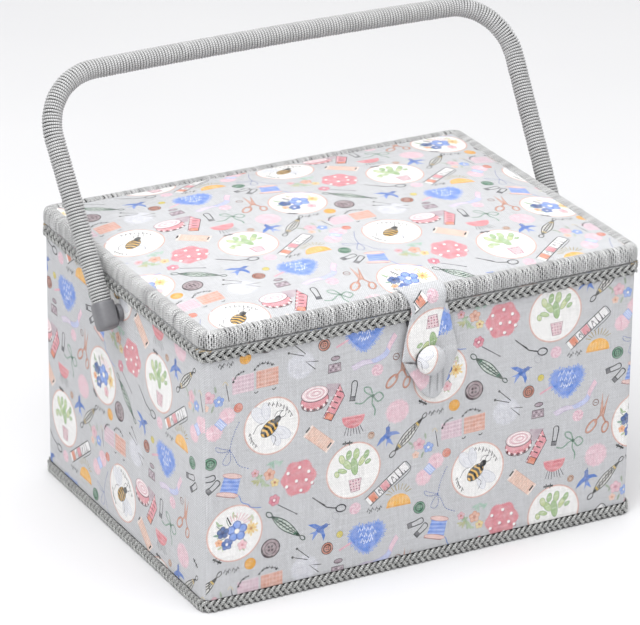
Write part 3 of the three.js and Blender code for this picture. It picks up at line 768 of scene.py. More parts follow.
def tape_strip():
    art = []
    shape(art, [(-17.6, -3.5), (17.6, -3.5), (17.6, 3.5), (-17.6, 3.5)], "ecebec", BLACK, 0.7)
    patch(art, [(-15.2, -3.0), (-10.0, -3.0), (-10.0, 3.0), (-15.2, 3.0)], "df8f75")
    patch(art, [(-4.6, -3.0), (1.0, -3.0), (1.0, 3.0), (-4.6, 3.0)], "dc949c")
    for x in (-9.4, -5.2, 1.6, 8.4, 12.0):
        line(art, [(x, -3.2), (x, 3.2)], 0.55, BLACK)
    for k in range(12):
        line(art, [(-14.6 + 2.6 * k, -3.4), (-14.6 + 2.6 * k, -1.4)], 0.5, BLACK)
    line(art, bend([(-7.8, -1.4), (-6.8, 1.6), (-6.0, -0.8)], 3), 0.6, BLACK)
    line(art, bend([(4.0, -1.2), (5.0, 1.8), (5.8, -0.6)], 3), 0.6, BLACK)
    line(art, bend([(17.8, 3.2), (18.8, 1.6), (17.2, -5.0), (2.0, -5.2)], 3), 0.5, BLACK)
    return art


def sun_comb():
    art = []
    for k in range(9):
        a = math.radians(24 + 16.5 * k)
        line(art, [(6 * math.cos(a), 2 + 4 * math.sin(a)), (10.4 * math.cos(a), 1 + 9.6 * math.sin(a))], 0.55, "9a8a4a")
    angles = np.linspace(0, math.pi, 14)
    patch(art, np.stack([8.8 * np.cos(angles), -4.6 + 8.0 * np.sin(angles)], 1), "ecb258")
    for k in range(6):
        line(art, [(-6.6 + 2.4 * k, -4.2), (-5.6 + 2.2 * k, 0.8)], 0.45, "f3cd86")
    line(art, [(-9.0, -4.8), (9.0, -5.2)], 1.1, "dfa04a")
    return art


# Each motif's place in one repeat of the print, and its turn in degrees.
LAYOUT = (
    (bee_hoop, -110.5, 121.5, 0),
    (cactus_hoop, -51.5, 77.5, 0),
    (flower_hoop, -136.5, 52, 0),
    (blue_heart, -41, 29, 0),
    (pincushion, -91, 81, 0),
    (tape_coil, -75.5, 131, 0),
    (safety_pin, -52, 134, 0),
    (green_bow, -38, 127, 0),
    (coral_cushion, -52, 112, 0),
    (peach_spool, -76.5, 105, 48),
    (dashed_bow, -140, 111, 0),
    (sweet_bow, 4.6, 66, 42),
    (coral_button, -134, 139, 0),
    (thread_cards, -120, 156, 0),
    (white_pompom, -90, 159, 0),
    (red_button, -70, 26, 0),
    (thimble, -66, 154, 0),
    (ribbon, -31, 158, 0),
    (terracotta_scissors, -19, 138, 0),
    (pink_pompom, -20, 112.5, 0),
    (green_skein, -100, 48.6, -42),
    (needle, -98.5, 60.5, 0),
    (black_snips, -68.5, 57, 0),
    (brown_button, -111, 35.5, 0),
    (orange_button, -125.5, 28, 0),
    (black_stitches, 8.6, 105.5, 0),
    (black_mark, -149, 35, 0),
    (yellow_skein, -11.5, 94, 44),
    (swallow, -27, 96.5, 0),
    (swallow, -76, 41, -68),
    (tiny_button, -39, 99.5, 0),
    (blue_spool, -140, 86.5, -16),
    (sprig, -115.5, 86.5, 0),
    (pink_sprig, -2, 84.5, 0),
    (flower_button, -108.5, 69, 0),
    (tape_strip, -26.5, 62.4, 36),
    (sun_comb, -18, 50, 0),
    (green_button, -2.5, 40, 0),
    (pin_pair, -2.6, 26.4, 0),
    (pink_dot, -50, 50, 0),
    (pink_dot, -35, 144.5, 0),
    (yellow_dot, -61, 34, 0),
    (ring_mark, -21.5, 151, 0),
    (black_stitches, -35.6, 45.6, 0),
    (black_mark, -56, 97.5, 30),
)
HOOP_PLACE = np.array([-110.5, 121.5])
REPEAT = np.array([[151.0, -64.0], [-3.5, 143.7]])
MOTIF_REACH = 24


class Cloth:
    """How the print lies on one face: where its bee hoop is, and its two repeats."""

    def __init__(self, hoop_place, across=REPEAT[0], up=REPEAT[1], turn=0, overhang=(24, 24), only=None, nudge=None):
        spin = turning(turn)
        nudge = nudge or {}
        self.turn = turn
        self.overhang = overhang
        self.layout = []
        for make, x, y, tilt in LAYOUT:
            if only is None or make in only:
                dx, dy = nudge.get(make, (0, 0))
                self.layout.append((make, x + dx, y + dy, tilt))
        self.place = np.array(hoop_place, float)
        self.repeat = np.array([across, up], float) @ spin
        self.change = np.linalg.inv(REPEAT) @ self.repeat

    def motifs(self, low, high):
        """The motifs' outlines that meet a rectangle."""
        found = []
        for make, x, y, turn in self.layout:
            start = self.place + (np.array([x, y]) - HOOP_PLACE) @ self.change
            spin = turning(turn + self.turn)
            art = None
            for i in range(-9, 10):
                for j in range(-9, 10):
                    centre = start + i * self.repeat[0] + j * self.repeat[1]
                    if np.any(centre < low - MOTIF_REACH) or np.any(centre > high + MOTIF_REACH):
                        continue
                    if centre[0] < low[0] - self.overhang[0] or centre[0] > high[0] + self.overhang[1]:
                        continue
                    art = art or make()
                    found += [(points @ spin + centre, colour) for points, colour in art]
        return [
            (points, colour)
            for points, colour in found
            if np.all(points.max(0) > low) and np.all(points.min(0) < high)
        ]


FRONT_CLOTH = Cloth((-110.5, 121.5), overhang=(3, 24))
LEFT_CLOTH = Cloth((-0.3, 33), across=(147.2, -58.5), up=(-2.1, 143.8), overhang=(24, -4))
RIGHT_CLOTH = Cloth((-110 - 274.4, 121))
BACK_CLOTH = Cloth((-110 - 548.8, 121))
LID_CLOTH = Cloth((10.9, 95.5), across=(152.2, -68.9), up=(-7.9, 134.3))


def grid_cuts(low, high, step_x, step_y):
    """Lines across a rectangle, so that a flat mesh can be bent along them."""
    cuts = []
    for x in np.arange(low[0] + step_x, high[0] - 0.01, step_x):
        cuts.append([(x, low[1] - 1), (x, high[1] + 1)])
    for y in np.arange(low[1] + step_y, high[1] - 0.01, step_y):
        cuts.append([(low[0] - 1, y), (high[0] + 1, y)])
    return cuts


def within(outline, probes):
    """Which of the probes lie inside an outline."""
    x, y = outline.T
    across, up = np.roll(x, -1) - x, np.roll(y, -1) - y
    px, py = probes[:, :1], probes[:, 1:]
    crosses = (y > py) != (y + up > py)
    left = px < x + across * (py - y) / np.where(up == 0, 1e-12, up)
    return (crosses & left).sum(1) % 2 == 1


def owners(centres, shapes):
    """The last shape that covers each face, or -1 outside the first one."""
    order = np.argsort(centres[:, 0])
    along = centres[order, 0]
    owner = np.full(len(centres), -1)
    for k, (points, _) in enumerate(shapes):
        low, high = points.min(0), points.max(0)
        first, last = np.searchsorted(along, (low[0], high[0]))
        near = order[first:last]
        near = near[(centres[near, 1] > low[1]) & (centres[near, 1] < high[1])]
        if k:
            near = near[owner[near] >= 0]
        if len(near):
            owner[near[within(points, centres[near])]] = k
    return owner


def printed_sheet(name, outline, cloth, shape, cuts=(), holes=(), look=None):
    """A sheet of printed cloth: the outline is cut out flat with its motifs, then shape bends it."""
    outline = np.array(outline, float)
    low, high = outline.min(0), outline.max(0)
    shapes = [(outline, GROUND)] + cloth.motifs(low, high)
    painted = len(shapes)
    shapes += [(np.array(hole, float), None) for hole in holes]
    points, faces, edges = [], [], []
    for outline_points, _ in shapes:
        faces.append(list(range(len(points), len(points) + len(outline_points))))
        points += [tuple(p) for p in outline_points]
    for a, b in cuts:
        edges.append((len(points), len(points) + 1))
        points += [tuple(a), tuple(b)]
    result = delaunay_2d_cdt([tuple(p) for p in points], edges, faces, 1, 1e-4)
    flat = np.array([tuple(v) for v in result[0]])
    kept, colours = [], []
    centres = np.array([flat[face].mean(0) for face in result[2]])
    for face, owner in zip(result[2], owners(centres, shapes)):
        if 0 <= owner < painted:
            kept.append(face)
            colours.append(shapes[owner][1])
    used = sorted({v for face in kept for v in face})
    place = {v: k for k, v in enumerate(used)}
    flat = flat[used]
    mesh = bpy.data.meshes.new(name)
    mesh.from_pydata((shape(flat) * MM).tolist(), [], [[place[v] for v in face] for face in kept])
    paint = mesh.color_attributes.new("print", "FLOAT_COLOR", "CORNER")
    table = {code: (*tone(code)[:3], 0.0 if code == GROUND else 1.0) for code in set(colours)}
    per_corner = [table[code] for face, code in zip(kept, colours) for _ in face]
    paint.data.foreach_set("color", np.array(per_corner, np.float32).ravel())
    weave = mesh.attributes.new("cloth", "FLOAT_VECTOR", "POINT")
    weave.data.foreach_set("vector", np.column_stack([flat, np.zeros(len(flat))]).astype(np.float32).ravel())
    mesh.polygons.foreach_set("use_smooth", [True] * len(mesh.polygons))
    mesh.materials.append(look or LOOKS["print_cloth"])
    obj = bpy.data.objects.new(name, mesh)
    bpy.context.scene.collection.objects.link(obj)
    return obj


# ---------------------------------------------------------------- materials


class Look:
    """A procedural material, built node by node."""

    def __init__(self, name, roughness, metallic=0.0, sheen=0.0):
        self.material = bpy.data.materials.new(name)
        self.material.use_nodes = True
        self.tree = self.material.node_tree
        self.surface = self.tree.nodes["Principled BSDF"]
        self.surface.inputs["Roughness"].default_value = roughness
        self.surface.inputs["Metallic"].default_value = metallic
        self.surface.inputs["Sheen Weight"].default_value = sheen
        self.bump = None

    def put(self, socket, value):
        if isinstance(value, bpy.types.NodeSocket):
            self.tree.links.new(value, socket)
        else:
            socket.default_value = value

    def add(self, kind, inputs, output=0, **settings):
        node = self.tree.nodes.new("ShaderNode" + kind)
        for key, value in settings.items():
            setattr(node, key, value)
        for key, value in inputs.items():
            self.put(node.inputs[key], value)
        return node.outputs[output]

    def sum(self, operation, a, b=0.0):
        return self.add("Math", {0: a, 1: b}, operation=operation)

    def place(self):
        return self.add("TexCoord", {}, output="Object")

    def attribute(self, name, output):
        return self.add("Attribute", {}, output=output, attribute_name=name)

    def noise(self, scale, detail=3.0, vector=None, rough=0.55):
        inputs = {"Scale": scale, "Detail": detail, "Roughness": rough}
        inputs["Vector"] = vector if vector is not None else self.place()
        return self.add("TexNoise", inputs, output="Fac")

    def stretch(self, vector, x, y, z):
        return self.add("Mapping", {"Vector": vector, "Scale": (x, y, z)})

    def mix(self, factor, a, b, blend="MIX"):
        inputs = {"Factor": factor, 6: a, 7: b}
        return self.add("Mix", inputs, output=2, data_type="RGBA", blend_type=blend)

    def between(self, value, low, high, to_low=0.0, to_high=1.0):
        inputs = {"Value": value, "From Min": low, "From Max": high, "To Min": to_low, "To Max": to_high}
        return self.add("MapRange", inputs)

    def raise_by(self, height, distance, strength=1.0):
        inputs = {"Height": height, "Distance": distance * MM, "Strength": strength}
        if self.bump is not None:
            inputs["Normal"] = self.bump
        self.bump = self.add("Bump", inputs)

    def finish(self, colour, roughness=None):
        self.put(self.surface.inputs["Base Color"], colour)
        if roughness is not None:
            self.put(self.surface.inputs["Roughness"], roughness)
        if self.bump is not None:
            self.put(self.surface.inputs["Normal"], self.bump)
        return self.material


def weave(look, coordinate, pitch):
    """The height of a plain weave, from 0 to 1, with uneven threads."""
    drift = look.add("TexNoise", {"Vector": coordinate, "Scale": 0.35, "Detail": 2.0}, output="Fac")
    parts = look.add("SeparateXYZ", {"Vector": coordinate})
    node = parts.node
    heights = []
    for axis in ("X", "Y"):
        wander = look.sum("MULTIPLY", drift, 0.5)
        along = look.sum("ADD", node.outputs[axis], wander)
        wave = look.sum("SINE", look.sum("MULTIPLY", along, math.pi / pitch))
        heights.append(look.sum("ABSOLUTE", wave))
    cells = look.stretch(coordinate, 1 / pitch, 1 / pitch, 0)
    over = look.add("TexChecker", {"Vector": cells, "Scale": 1.0}, output="Fac")
    lower = look.sum("MULTIPLY", heights[0], look.sum("SUBTRACT", 1.0, over))
    upper = look.sum("MULTIPLY", heights[1], over)
    return look.sum("ADD", lower, upper)


def cloth_look(name, colour, pitch, depth, tint=None):
    """Woven cotton. Where the mesh has a print, the print gives its colour."""
    look = Look(name, 0.86, sheen=0.12)
    if colour is None:
        coordinate = look.attribute("cloth", "Vector")
        base = look.attribute("print", "Color")
        ink = look.attribute("print", "Alpha")
    else:
        coordinate = look.stretch(look.place(), 1000, 1000, 1000)
        base = tone(colour)
        ink = 0.0
    height = weave(look, coordinate, pitch)
    slub_x = look.noise(1.0, vector=look.stretch(coordinate, 0.06, 1.1, 1.1))
    slub_y = look.noise(1.0, vector=look.stretch(coordinate, 1.1, 0.06, 1.1))
    threads = look.sum("ADD", slub_x, slub_y)
    grain = look.noise(1.0, 4.0, look.stretch(coordinate, 0.8, 0.8, 0.8))
    wash = look.noise(1.0, 4.0, look.stretch(coordinate, 0.23, 0.23, 0.23), 0.65)
    washed = look.sum("MULTIPLY", ink, look.between(wash, 0.4, 0.75, 0.0, 0.3))
    base = look.mix(washed, base, tone(tint or WHITE))
    shade = look.between(look.sum("ADD", threads, grain), 1.0, 2.0, 0.76, 1.16)
    lit = look.between(height, 0.0, 1.0, 0.5, 1.1)
    base = look.mix(1.0, base, look.sum("MULTIPLY", shade, lit), "MULTIPLY")
    look.raise_by(height, depth, 0.8)
    look.raise_by(threads, depth * 1.3, 0.6)
    look.raise_by(look.noise(1.0, 2.0, look.stretch(coordinate, 0.04, 0.04, 0.04)), 0.9, 0.25)
    return look.finish(base, look.between(grain, 0.3, 0.7, 0.8, 0.95))


def cord_look(name, colour, dark):
    """Twisted paper cord, whose twist follows the mesh's own line."""
    look = Look(name, 0.72, sheen=0.05)
    twist = look.attribute("cord", "Vector")
    node = look.add("SeparateXYZ", {"Vector": twist}).node
    angle = look.sum("MULTIPLY", node.outputs["X"], TURN / 1.25)
    part_a = look.sum("MULTIPLY", look.sum("SINE", angle), node.outputs["Y"])
    part_b = look.sum("MULTIPLY", look.sum("COSINE", angle), node.outputs["Z"])
    wave = look.sum("ADD", part_a, part_b)
    # ply runs from the twist's grooves to its crowns. The dark colour shows in the grooves as painted shade, and where
    # the fibre noise is low as the cord's own uneven tone.
    ply = look.between(wave, -0.9, 0.7)
    fibre = look.noise(2600.0, 3.0)
    blotch = look.noise(130.0, 3.0)
    # The shade attribute scales the colour: painted shade where braid strands pass behind the others, and a random tone
    # for each cord.
    shade = look.attribute("shade", "Fac")
    tint = look.sum("ADD", look.sum("MULTIPLY", ply, 0.55), look.sum("MULTIPLY", fibre, 0.45))
    base = look.mix(tint, tone(dark), tone(colour))
    level = look.sum("ADD", shade, look.between(blotch, 0.3, 0.7, -0.07, 0.07))
    base = look.mix(1.0, base, level, "MULTIPLY")
    look.raise_by(ply, 0.16, 0.8)
    look.raise_by(fibre, 0.08, 0.6)
    return look.finish(base, look.between(fibre, 0.3, 0.7, 0.62, 0.85))


def plain_look(name, colour, dark, roughness, grain, depth, metallic=0.0, stretch=(1, 1, 1)):
    """A mottled and slightly uneven finish, for board, plastic and metal."""
    look = Look(name, roughness, metallic)
    where = look.stretch(look.place(), *stretch)
    fine = look.noise(grain, 4.0, where)
    broad = look.noise(grain / 12, 3.0, where)
    tint = look.sum("ADD", look.sum("MULTIPLY", fine, 0.5), look.sum("MULTIPLY", broad, 0.5))
    base = look.mix(look.between(tint, 0.3, 0.7), tone(dark), tone(colour))
    look.raise_by(fine, depth, 0.6)
    return look.finish(base, look.between(broad, 0.3, 0.7, roughness - 0.07, roughness + 0.08))


LOOKS = {
    "print_cloth": cloth_look("printed_cotton", None, 0.84, 0.11),
    "lining_cloth": cloth_look("lining_cotton", "ece4dd", 0.5, 0.06),
    "pocket_cloth": cloth_look("pocket_cotton", "e6dcd6", 0.5, 0.06),
    "cushion_cloth": cloth_look("cushion_cotton", "e9c2c8", 0.5, 0.06),
    "base_felt": plain_look("base_felt", "9d9ea0", "7f8083", 0.95, 1800.0, 0.3),
    "edge_tape": plain_look("edge_tape", "b4b5b6", "9c9d9e", 0.9, 1500.0, 0.2),
    "board": plain_look("board", "a3a3a4", "8e8e90", 0.85, 700.0, 0.1),
    "lining_board": plain_look("lining_board", "e6ded6", "d6cdc4", 0.85, 900.0, 0.08),
    "braid": cord_look("braid_cord", "d6d7d5", "3e3f3e"),
    "winding": cord_look("winding_cord", "dddddd", "636465"),
    # Near-black sheets and cores just behind the cords: painted shade that shows through the gaps between them.
    "shadow": plain_look("cord_backing", "242424", "161616", 0.95, 900.0, 0.1),
    "straw": cord_look("straw_cord", "c9b184", "92794f"),
    "cane": plain_look("cane", "b99a6c", "8f7148", 0.6, 500.0, 0.1),
    "foam": plain_look("foam", "e9e3d2", "dcd4be", 0.95, 1500.0, 0.3),
    "steel": plain_look("steel", "a9abae", "8c8f93", 0.38, 900.0, 0.02, 0.9, (1, 12, 1)),
    "plated_steel": plain_look("plated_steel", "c4c5c8", "aaacb0", 0.25, 700.0, 0.01, 1.0),
    "grey_plastic": plain_look("grey_plastic", "707073", "66666a", 0.42, 500.0, 0.02),
    "tray_plastic": plain_look("tray_plastic", "d7d9db", "cbcdd0", 0.4, 300.0, 0.03),
}


# ---------------------------------------------------------------- shapes


def mesh_object(name, points, faces, slot, smooth=True):
    mesh = bpy.data.meshes.new(name)
    mesh.from_pydata((np.asarray(points, float) * MM).tolist(), [], faces)
    mesh.polygons.foreach_set("use_smooth", [smooth] * len(mesh.polygons))
    mesh.materials.append(LOOKS[slot])
    obj = bpy.data.objects.new(name, mesh)
    bpy.context.scene.collection.objects.link(obj)
    return obj


def settle(obj, body, slot, *nodes):
    """Hands a finished piece to its body and hides its CAD parts. The slot is not used."""
    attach(obj, body)
    if nodes:
        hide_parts(*nodes)
    return obj


def lattice_faces(rows, columns, close_rows=False, close_columns=False, start=0):
    """Four-sided faces between the points of a grid."""
    r = np.arange(rows if close_rows else rows - 1)[:, None]
    c = np.arange(columns if close_columns else columns - 1)[None, :]
    r2, c2 = (r + 1) % rows, (c + 1) % columns
    quads = [r * columns + c, r * columns + c2, r2 * columns + c2, r2 * columns + c]
    return (np.stack(np.broadcast_arrays(*quads), -1).reshape(-1, 4) + start).tolist()


class Cords:
    """Many lengths of cord gathered into one piece."""

    def __init__(self):
        self.points, self.faces, self.twist, self.shade = [], [], [], []
        self.count = 0

    def lay(self, path, radius, across, sides=6, closed=False, shade=1.0, flat=1.0):
        """Adds a cord along path. across is any direction that isn't along it."""
        path = np.asarray(path, float)
        if closed:
            ahead = np.roll(path, -1, 0) - np.roll(path, 1, 0)
        else:
            ahead = np.gradient(path, axis=0)
        ahead /= np.linalg.norm(ahead, axis=1)[:, None]
        side = np.cross(ahead, across)
        side /= np.linalg.norm(side, axis=1)[:, None]
        up = np.cross(side, ahead)
        angles = np.arange(sides) * TURN / sides
        c, s = np.cos(angles)[None, :, None], np.sin(angles)[None, :, None] * flat
        thick = np.broadcast_to(np.asarray(radius, float), len(path))[:, None, None]
        ring = path[:, None, :] + thick * (c * side[:, None, :] + s * up[:, None, :])
        step = np.linalg.norm(np.diff(path, axis=0), axis=1)
        run = np.concatenate([[0], np.cumsum(step)])[:, None] + chance.random()
        run = np.broadcast_to(run, (len(path), sides))
        around = [np.broadcast_to(f(angles), run.shape) for f in (np.cos, np.sin)]
        self.twist.append(np.stack([run, *around], -1).reshape(-1, 3))
        # Each point's brightness factor: painted shade where a caller darkens hidden stretches, as the braid does,
        # times a random tone for the whole cord.
        tones = np.repeat(np.broadcast_to(np.asarray(shade, float), len(path)), sides)
        self.shade.append(tones * (1 + 0.09 * chance.standard_normal()))
        self.faces += lattice_faces(len(path), sides, closed, True, self.count)
        if not closed:
            first = list(range(self.count, self.count + sides))
            last = [v + (len(path) - 1) * sides for v in first]
            self.faces += [first, last[::-1]]
        self.points.append(ring.reshape(-1, 3))
        self.count += len(path) * sides

    def make(self, name, slot):
        obj = mesh_object(name, np.vstack(self.points), self.faces, slot)
        mesh = obj.data
        twist = mesh.attributes.new("cord", "FLOAT_VECTOR", "POINT")
        twist.data.foreach_set("vector", np.vstack(self.twist).astype(np.float32).ravel())
        shade = mesh.attributes.new("shade", "FLOAT", "POINT")
        shade.data.foreach_set("value", np.concatenate(self.shade).astype(np.float32))
        return obj


def rounded_path(half_x, half_y, radius, spacing, corner_spread=1.0):
    """Evenly spaced points round a rounded rectangle, with their outward directions.
    At the corners they are corner_spread times further apart."""
    points, outs, rate = [], [], []
    corners = ((1, -1, -90), (1, 1, 0), (-1, 1, 90), (-1, -1, 180))
    for sx, sy, first in corners:
        for angle in np.linspace(first, first + 90, 25):
            a = math.radians(angle)
            out = (math.cos(a), math.sin(a))
            points.append((sx * (half_x - radius) + radius * out[0], sy * (half_y - radius) + radius * out[1]))
            outs.append(out)
            rate.append(corner_spread)
    points.append(points[0])
    outs.append(outs[0])
    points, outs = np.array(points), np.array(outs)
    step = np.linalg.norm(np.diff(points, axis=0), axis=1)
    bent = np.linalg.norm(np.diff(outs, axis=0), axis=1) > 1e-6
    run = np.concatenate([[0], np.cumsum(np.where(bent, step / corner_spread, step))])
    count = int(round(run[-1] / spacing))
    at = np.arange(count) * run[-1] / count
    place = np.stack([np.interp(at, run, points[:, k]) for k in (0, 1)], 1)
    out = np.stack([np.interp(at, run, outs[:, k]) for k in (0, 1)], 1)
    return place, out / np.linalg.norm(out, axis=1)[:, None]


def sweep(name, half_x, half_y, radius, section, slot, spacing=4.0):
    """A closed band whose section, as pairs of inset and height, follows a rounded rectangle."""
    place, out = rounded_path(half_x, half_y, radius, spacing, 0.3)
    section = np.array(section, float)
    flat = place[:, None, :] - out[:, None, :] * section[None, :, 0:1]
    height = np.broadcast_to(section[None, :, 1:2], (len(place), len(section), 1))
    points = np.concatenate([flat, height], -1).reshape(-1, 3)
    faces = lattice_faces(len(place), len(section), True, True)
    return mesh_object(name, points, faces, slot)


# ---------------------------------------------------------------- the covered walls


def wall_shape(half, depth, origin, across, outward):
    """How a wall's flat cloth lies: straight, then half way round each corner."""
    flat_half = half - COVER_RADIUS

    def shape(flat):
        u, z = flat[:, 0], flat[:, 1]
        over = np.maximum(np.abs(u) - flat_half, 0) / COVER_RADIUS
        side = np.sign(u)
        x = np.clip(u, -flat_half, flat_half) + side * COVER_RADIUS * np.sin(over)
        y = -COVER_RADIUS * (1 - np.cos(over))
        y = y + 0.12 * np.sin(u / 17.0) * np.sin(z / 23.0)
        place = np.outer(x, across) + np.outer(depth + y, outward)
        return place + np.column_stack([np.zeros((len(u), 2)), z])

    return shape


def add_walls():
    reach = math.pi * COVER_RADIUS / 4
    walls = (
        ("front", COVER_X, COVER_Y, (1, 0, 0), (0, -1, 0), FRONT_CLOTH),
        ("right", COVER_Y, COVER_X, (0, 1, 0), (1, 0, 0), RIGHT_CLOTH),
        ("back", COVER_X, COVER_Y, (-1, 0, 0), (0, 1, 0), BACK_CLOTH),
        ("left", COVER_Y, COVER_X, (0, -1, 0), (-1, 0, 0), LEFT_CLOTH),
    )
    made = []
    for name, half, depth, across, outward, cloth in walls:
        end = half - COVER_RADIUS + reach
        low, high = (-end, COVER_LOW[2] + 0.2), (end, COVER_HIGH[2] - 0.2)
        outline = [low, (high[0], low[1]), high, (low[0], high[1])]
        cuts = [
            [(side * (half - COVER_RADIUS + reach * k / 5), low[1] - 1)] * 2
            for side in (-1, 1)
            for k in range(5)
        ]
        cuts = [[a, (b[0], high[1] + 1)] for a, b in cuts]
        shape = wall_shape(half, depth, None, across, outward)
        wall = printed_sheet("cover_" + name, outline, cloth, shape, cuts)
        settle(wall, "box", "print_cloth", "body_cover")
        made.append(wall)
    return made


# ---------------------------------------------------------------- braids


def add_braid(name, low, high, strands, ply, period, thickness):
    """Plaited cords round the box. Each strand is ply cords side by side."""
    middle = (low[2] + high[2]) / 2
    width = (high[2] - low[2]) / 2
    place, out = rounded_path(high[0] - 0.95, high[1] - 0.95, 7.1, 1.0, 0.6)
    count = len(place)
    step = np.linalg.norm(np.roll(place, -1, 0) - place, axis=1)
    run = np.concatenate([[0], np.cumsum(step)[:-1]])
    repeats = round(step.sum() / period)
    phase = TURN * repeats * run / step.sum()
    cord = width * 0.15
    swing = width - ply * cord
    cords = Cords()
    for k in range(strands):
        turn = phase + TURN * k / strands
        height = swing * np.sin(turn)
        depth = 0.72 * np.sin(2 * turn) + 0.12 * np.sin(phase / 7.3 + k)
        for p in range(ply):
            aside = (p - (ply - 1) / 2) * 2 * cord * 0.93
            uneven = 0.12 * np.sin(phase * 0.37 + 2 * k + p)
            flat = place + out * (depth + 0.1 * p)[:, None]
            line_up = middle + height + aside + uneven
            path = np.column_stack([flat, line_up])
            outward = np.column_stack([out, np.zeros(count)])
            # The shade factor paints each strand darker where it passes behind the others: painted shade in the plait's
            # hollows.
            cords.lay(path, cord, outward, 6, True, shade=0.78 + 0.34 * np.sin(2 * turn), flat=0.9)
    braid = cords.make(name, "braid")
    settle(braid, "box", "braid", name)
    # A near-black band just behind the plait: painted shade seen through the gaps between its strands.
    section = [(1.7, low[2] + 0.5), (1.95, low[2] + 0.5), (1.95, high[2] - 0.5), (1.7, high[2] - 0.5)]
    painted_shade_backing = sweep(name + "_backing", high[0], high[1], 8, section, "shadow")
    settle(painted_shade_backing, "box", "braid", name)


# ---------------------------------------------------------------- the lid


def add_edge_tape():
    """The flat tape that covers the walls' top edge."""
    top = TOP_TRIM_HIGH[2]
    section = [(1.2, top - 1.2), (1.2, top - 0.45), (8.6, top - 0.45), (8.6, top - 0.75), (1.9, top - 0.75)]
    tape = sweep("edge_tape", TOP_TRIM_HIGH[0], TOP_TRIM_HIGH[1], 8, np.array(section), "edge_tape")
    settle(tape, "box", "winding", "top_trim")


def rim_section(grow=0.0):
    """The rim's section, as insets and heights, drawn grow millimetres inside the cords' line."""
    side = RIM_CORD + grow
    top = RIM_TOP - RIM_CORD - grow
    bottom = RIM_BOTTOM + RIM_CORD + grow
    return np.array(
        [
            (7.4, bottom),
            (4.0, bottom),
            (side + 1.5, bottom + 0.1),
            (side + 0.35, bottom + 0.8),
            (side, bottom + 2.2),
            (side, bottom + 5.0),
            (side + 0.25, top - 2.7),
            (side + 1.3, top - 0.9),
            (side + 3.0, top - 0.15),
            (side + 5.0, top - 0.05),
            (side + 6.8, top - 0.5),
            (8.4, top - 1.4),
        ]
    )


def add_rim():
    line_points = bend(rim_section(), 2)
    upper = np.clip((line_points[:, 1] - RIM_BOTTOM) / (RIM_TOP - RIM_BOTTOM), 0, 1)
    place, out = rounded_path(RIM_X, RIM_Y, RIM_RADIUS, RIM_PITCH, 1.2)
    ahead = np.roll(place, -1, 0) - np.roll(place, 1, 0)
    ahead /= np.linalg.norm(ahead, axis=1)[:, None]
    cords = Cords()
    lean = 0.0
    for i in range(len(place)):
        lean = 0.7 * lean + 0.3 * chance.standard_normal()
        thick = RIM_CORD * (1 + 0.07 * chance.standard_normal())
        wobble = 0.1 * chance.standard_normal()
        shift = lean * (upper - 0.5) + 0.26 * np.sin(21 * upper + 2.9 * i)
        shift = shift + 0.2 * np.sin(0.9 * i + 4 * upper)
        inset = line_points[:, 0] - wobble
        flat = place[i] - out[i] * inset[:, None] + ahead[i] * shift[:, None]
        path = np.column_stack([flat, line_points[:, 1]])
        cords.lay(path, thick, np.append(ahead[i], 0.0), 6, shade=0.98 + 0.07 * chance.standard_normal())
    rim = cords.make("lid_rim_winding", "winding")
    settle(rim, "lid", "winding", "lid_rim")
    # A near-black solid just inside the rim's cords: painted shade seen through the gaps between the turns.
    inner = rim_section(0.75)
    inner = np.vstack([inner, [(8.2, inner[0][1])]])
    core = sweep("lid_rim_painted_shade_core", RIM_X, RIM_Y, RIM_RADIUS, inner, "shadow")
    settle(core, "lid", "winding", "lid_rim")


CROWN_STEP = 8.0


def crown_heights():
    """The lid's crown on a grid: cloth held at its edge and pushed up by the foam under it."""
    half = LID_HIGH[:2] + 0.3
    columns = int(round(2 * half[0] / CROWN_STEP)) + 1
    rows = int(round(2 * half[1] / CROWN_STEP)) + 1
    xs = np.linspace(-half[0], half[0], columns)
    ys = np.linspace(-half[1], half[1], rows)
    gx, gy = np.meshgrid(xs, ys, indexing="ij")
    bow = (1 - np.abs(gx / half[0]) ** 3.4) * (1 - np.abs(gy / half[1]) ** 3.4)
    flat = np.column_stack([gx.ravel(), gy.ravel(), bow.ravel() * 1.5])
    sheet = mesh_object("crown_trial", flat, lattice_faces(columns, rows), "foam")
    edge = (np.abs(gx) > half[0] - 1) | (np.abs(gy) > half[1] - 1)
    held = sheet.vertex_groups.new(name="held")
    held.add([int(i) for i in np.flatnonzero(edge.ravel())], 1.0, "REPLACE")
    cloth = sheet.modifiers.new("cloth", "CLOTH")
    cloth.settings.quality = 6
    cloth.settings.mass = 0.3
    cloth.settings.vertex_group_mass = "held"
    cloth.settings.use_pressure = True
    cloth.settings.uniform_pressure_force = 4.0
    cloth.settings.effector_weights.gravity = 0.0
    for number in range(1, 21):
        bpy.context.scene.frame_set(number)
    shown = sheet.evaluated_get(bpy.context.evaluated_depsgraph_get())
    heights = np.array([v.co.z for v in shown.data.vertices]).reshape(columns, rows)
    bpy.context.scene.frame_set(1)
    bpy.data.objects.remove(sheet)
    pushed = np.maximum(heights - heights[0, 0], 0)
    if pushed.max() > 1e-5:
        bow = 0.5 * bow + 0.5 * pushed / pushed.max()
    return xs, ys, bow


def surface_value(xs, ys, grid, x, y):
    """The grid's value at each point, straight between its neighbours."""
    i = np.clip(np.searchsorted(xs, x) - 1, 0, len(xs) - 2)
    j = np.clip(np.searchsorted(ys, y) - 1, 0, len(ys) - 2)
    s = np.clip((x - xs[i]) / (xs[i + 1] - xs[i]), 0, 1)
    t = np.clip((y - ys[j]) / (ys[j + 1] - ys[j]), 0, 1)
    low = grid[i, j] * (1 - s) + grid[i + 1, j] * s
    high = grid[i, j + 1] * (1 - s) + grid[i + 1, j + 1] * s
    return low * (1 - t) + high * t


LID_EDGE = RIM_TOP - 1.5
LID_CROWN = LID_HIGH[2] - LID_EDGE - 0.4


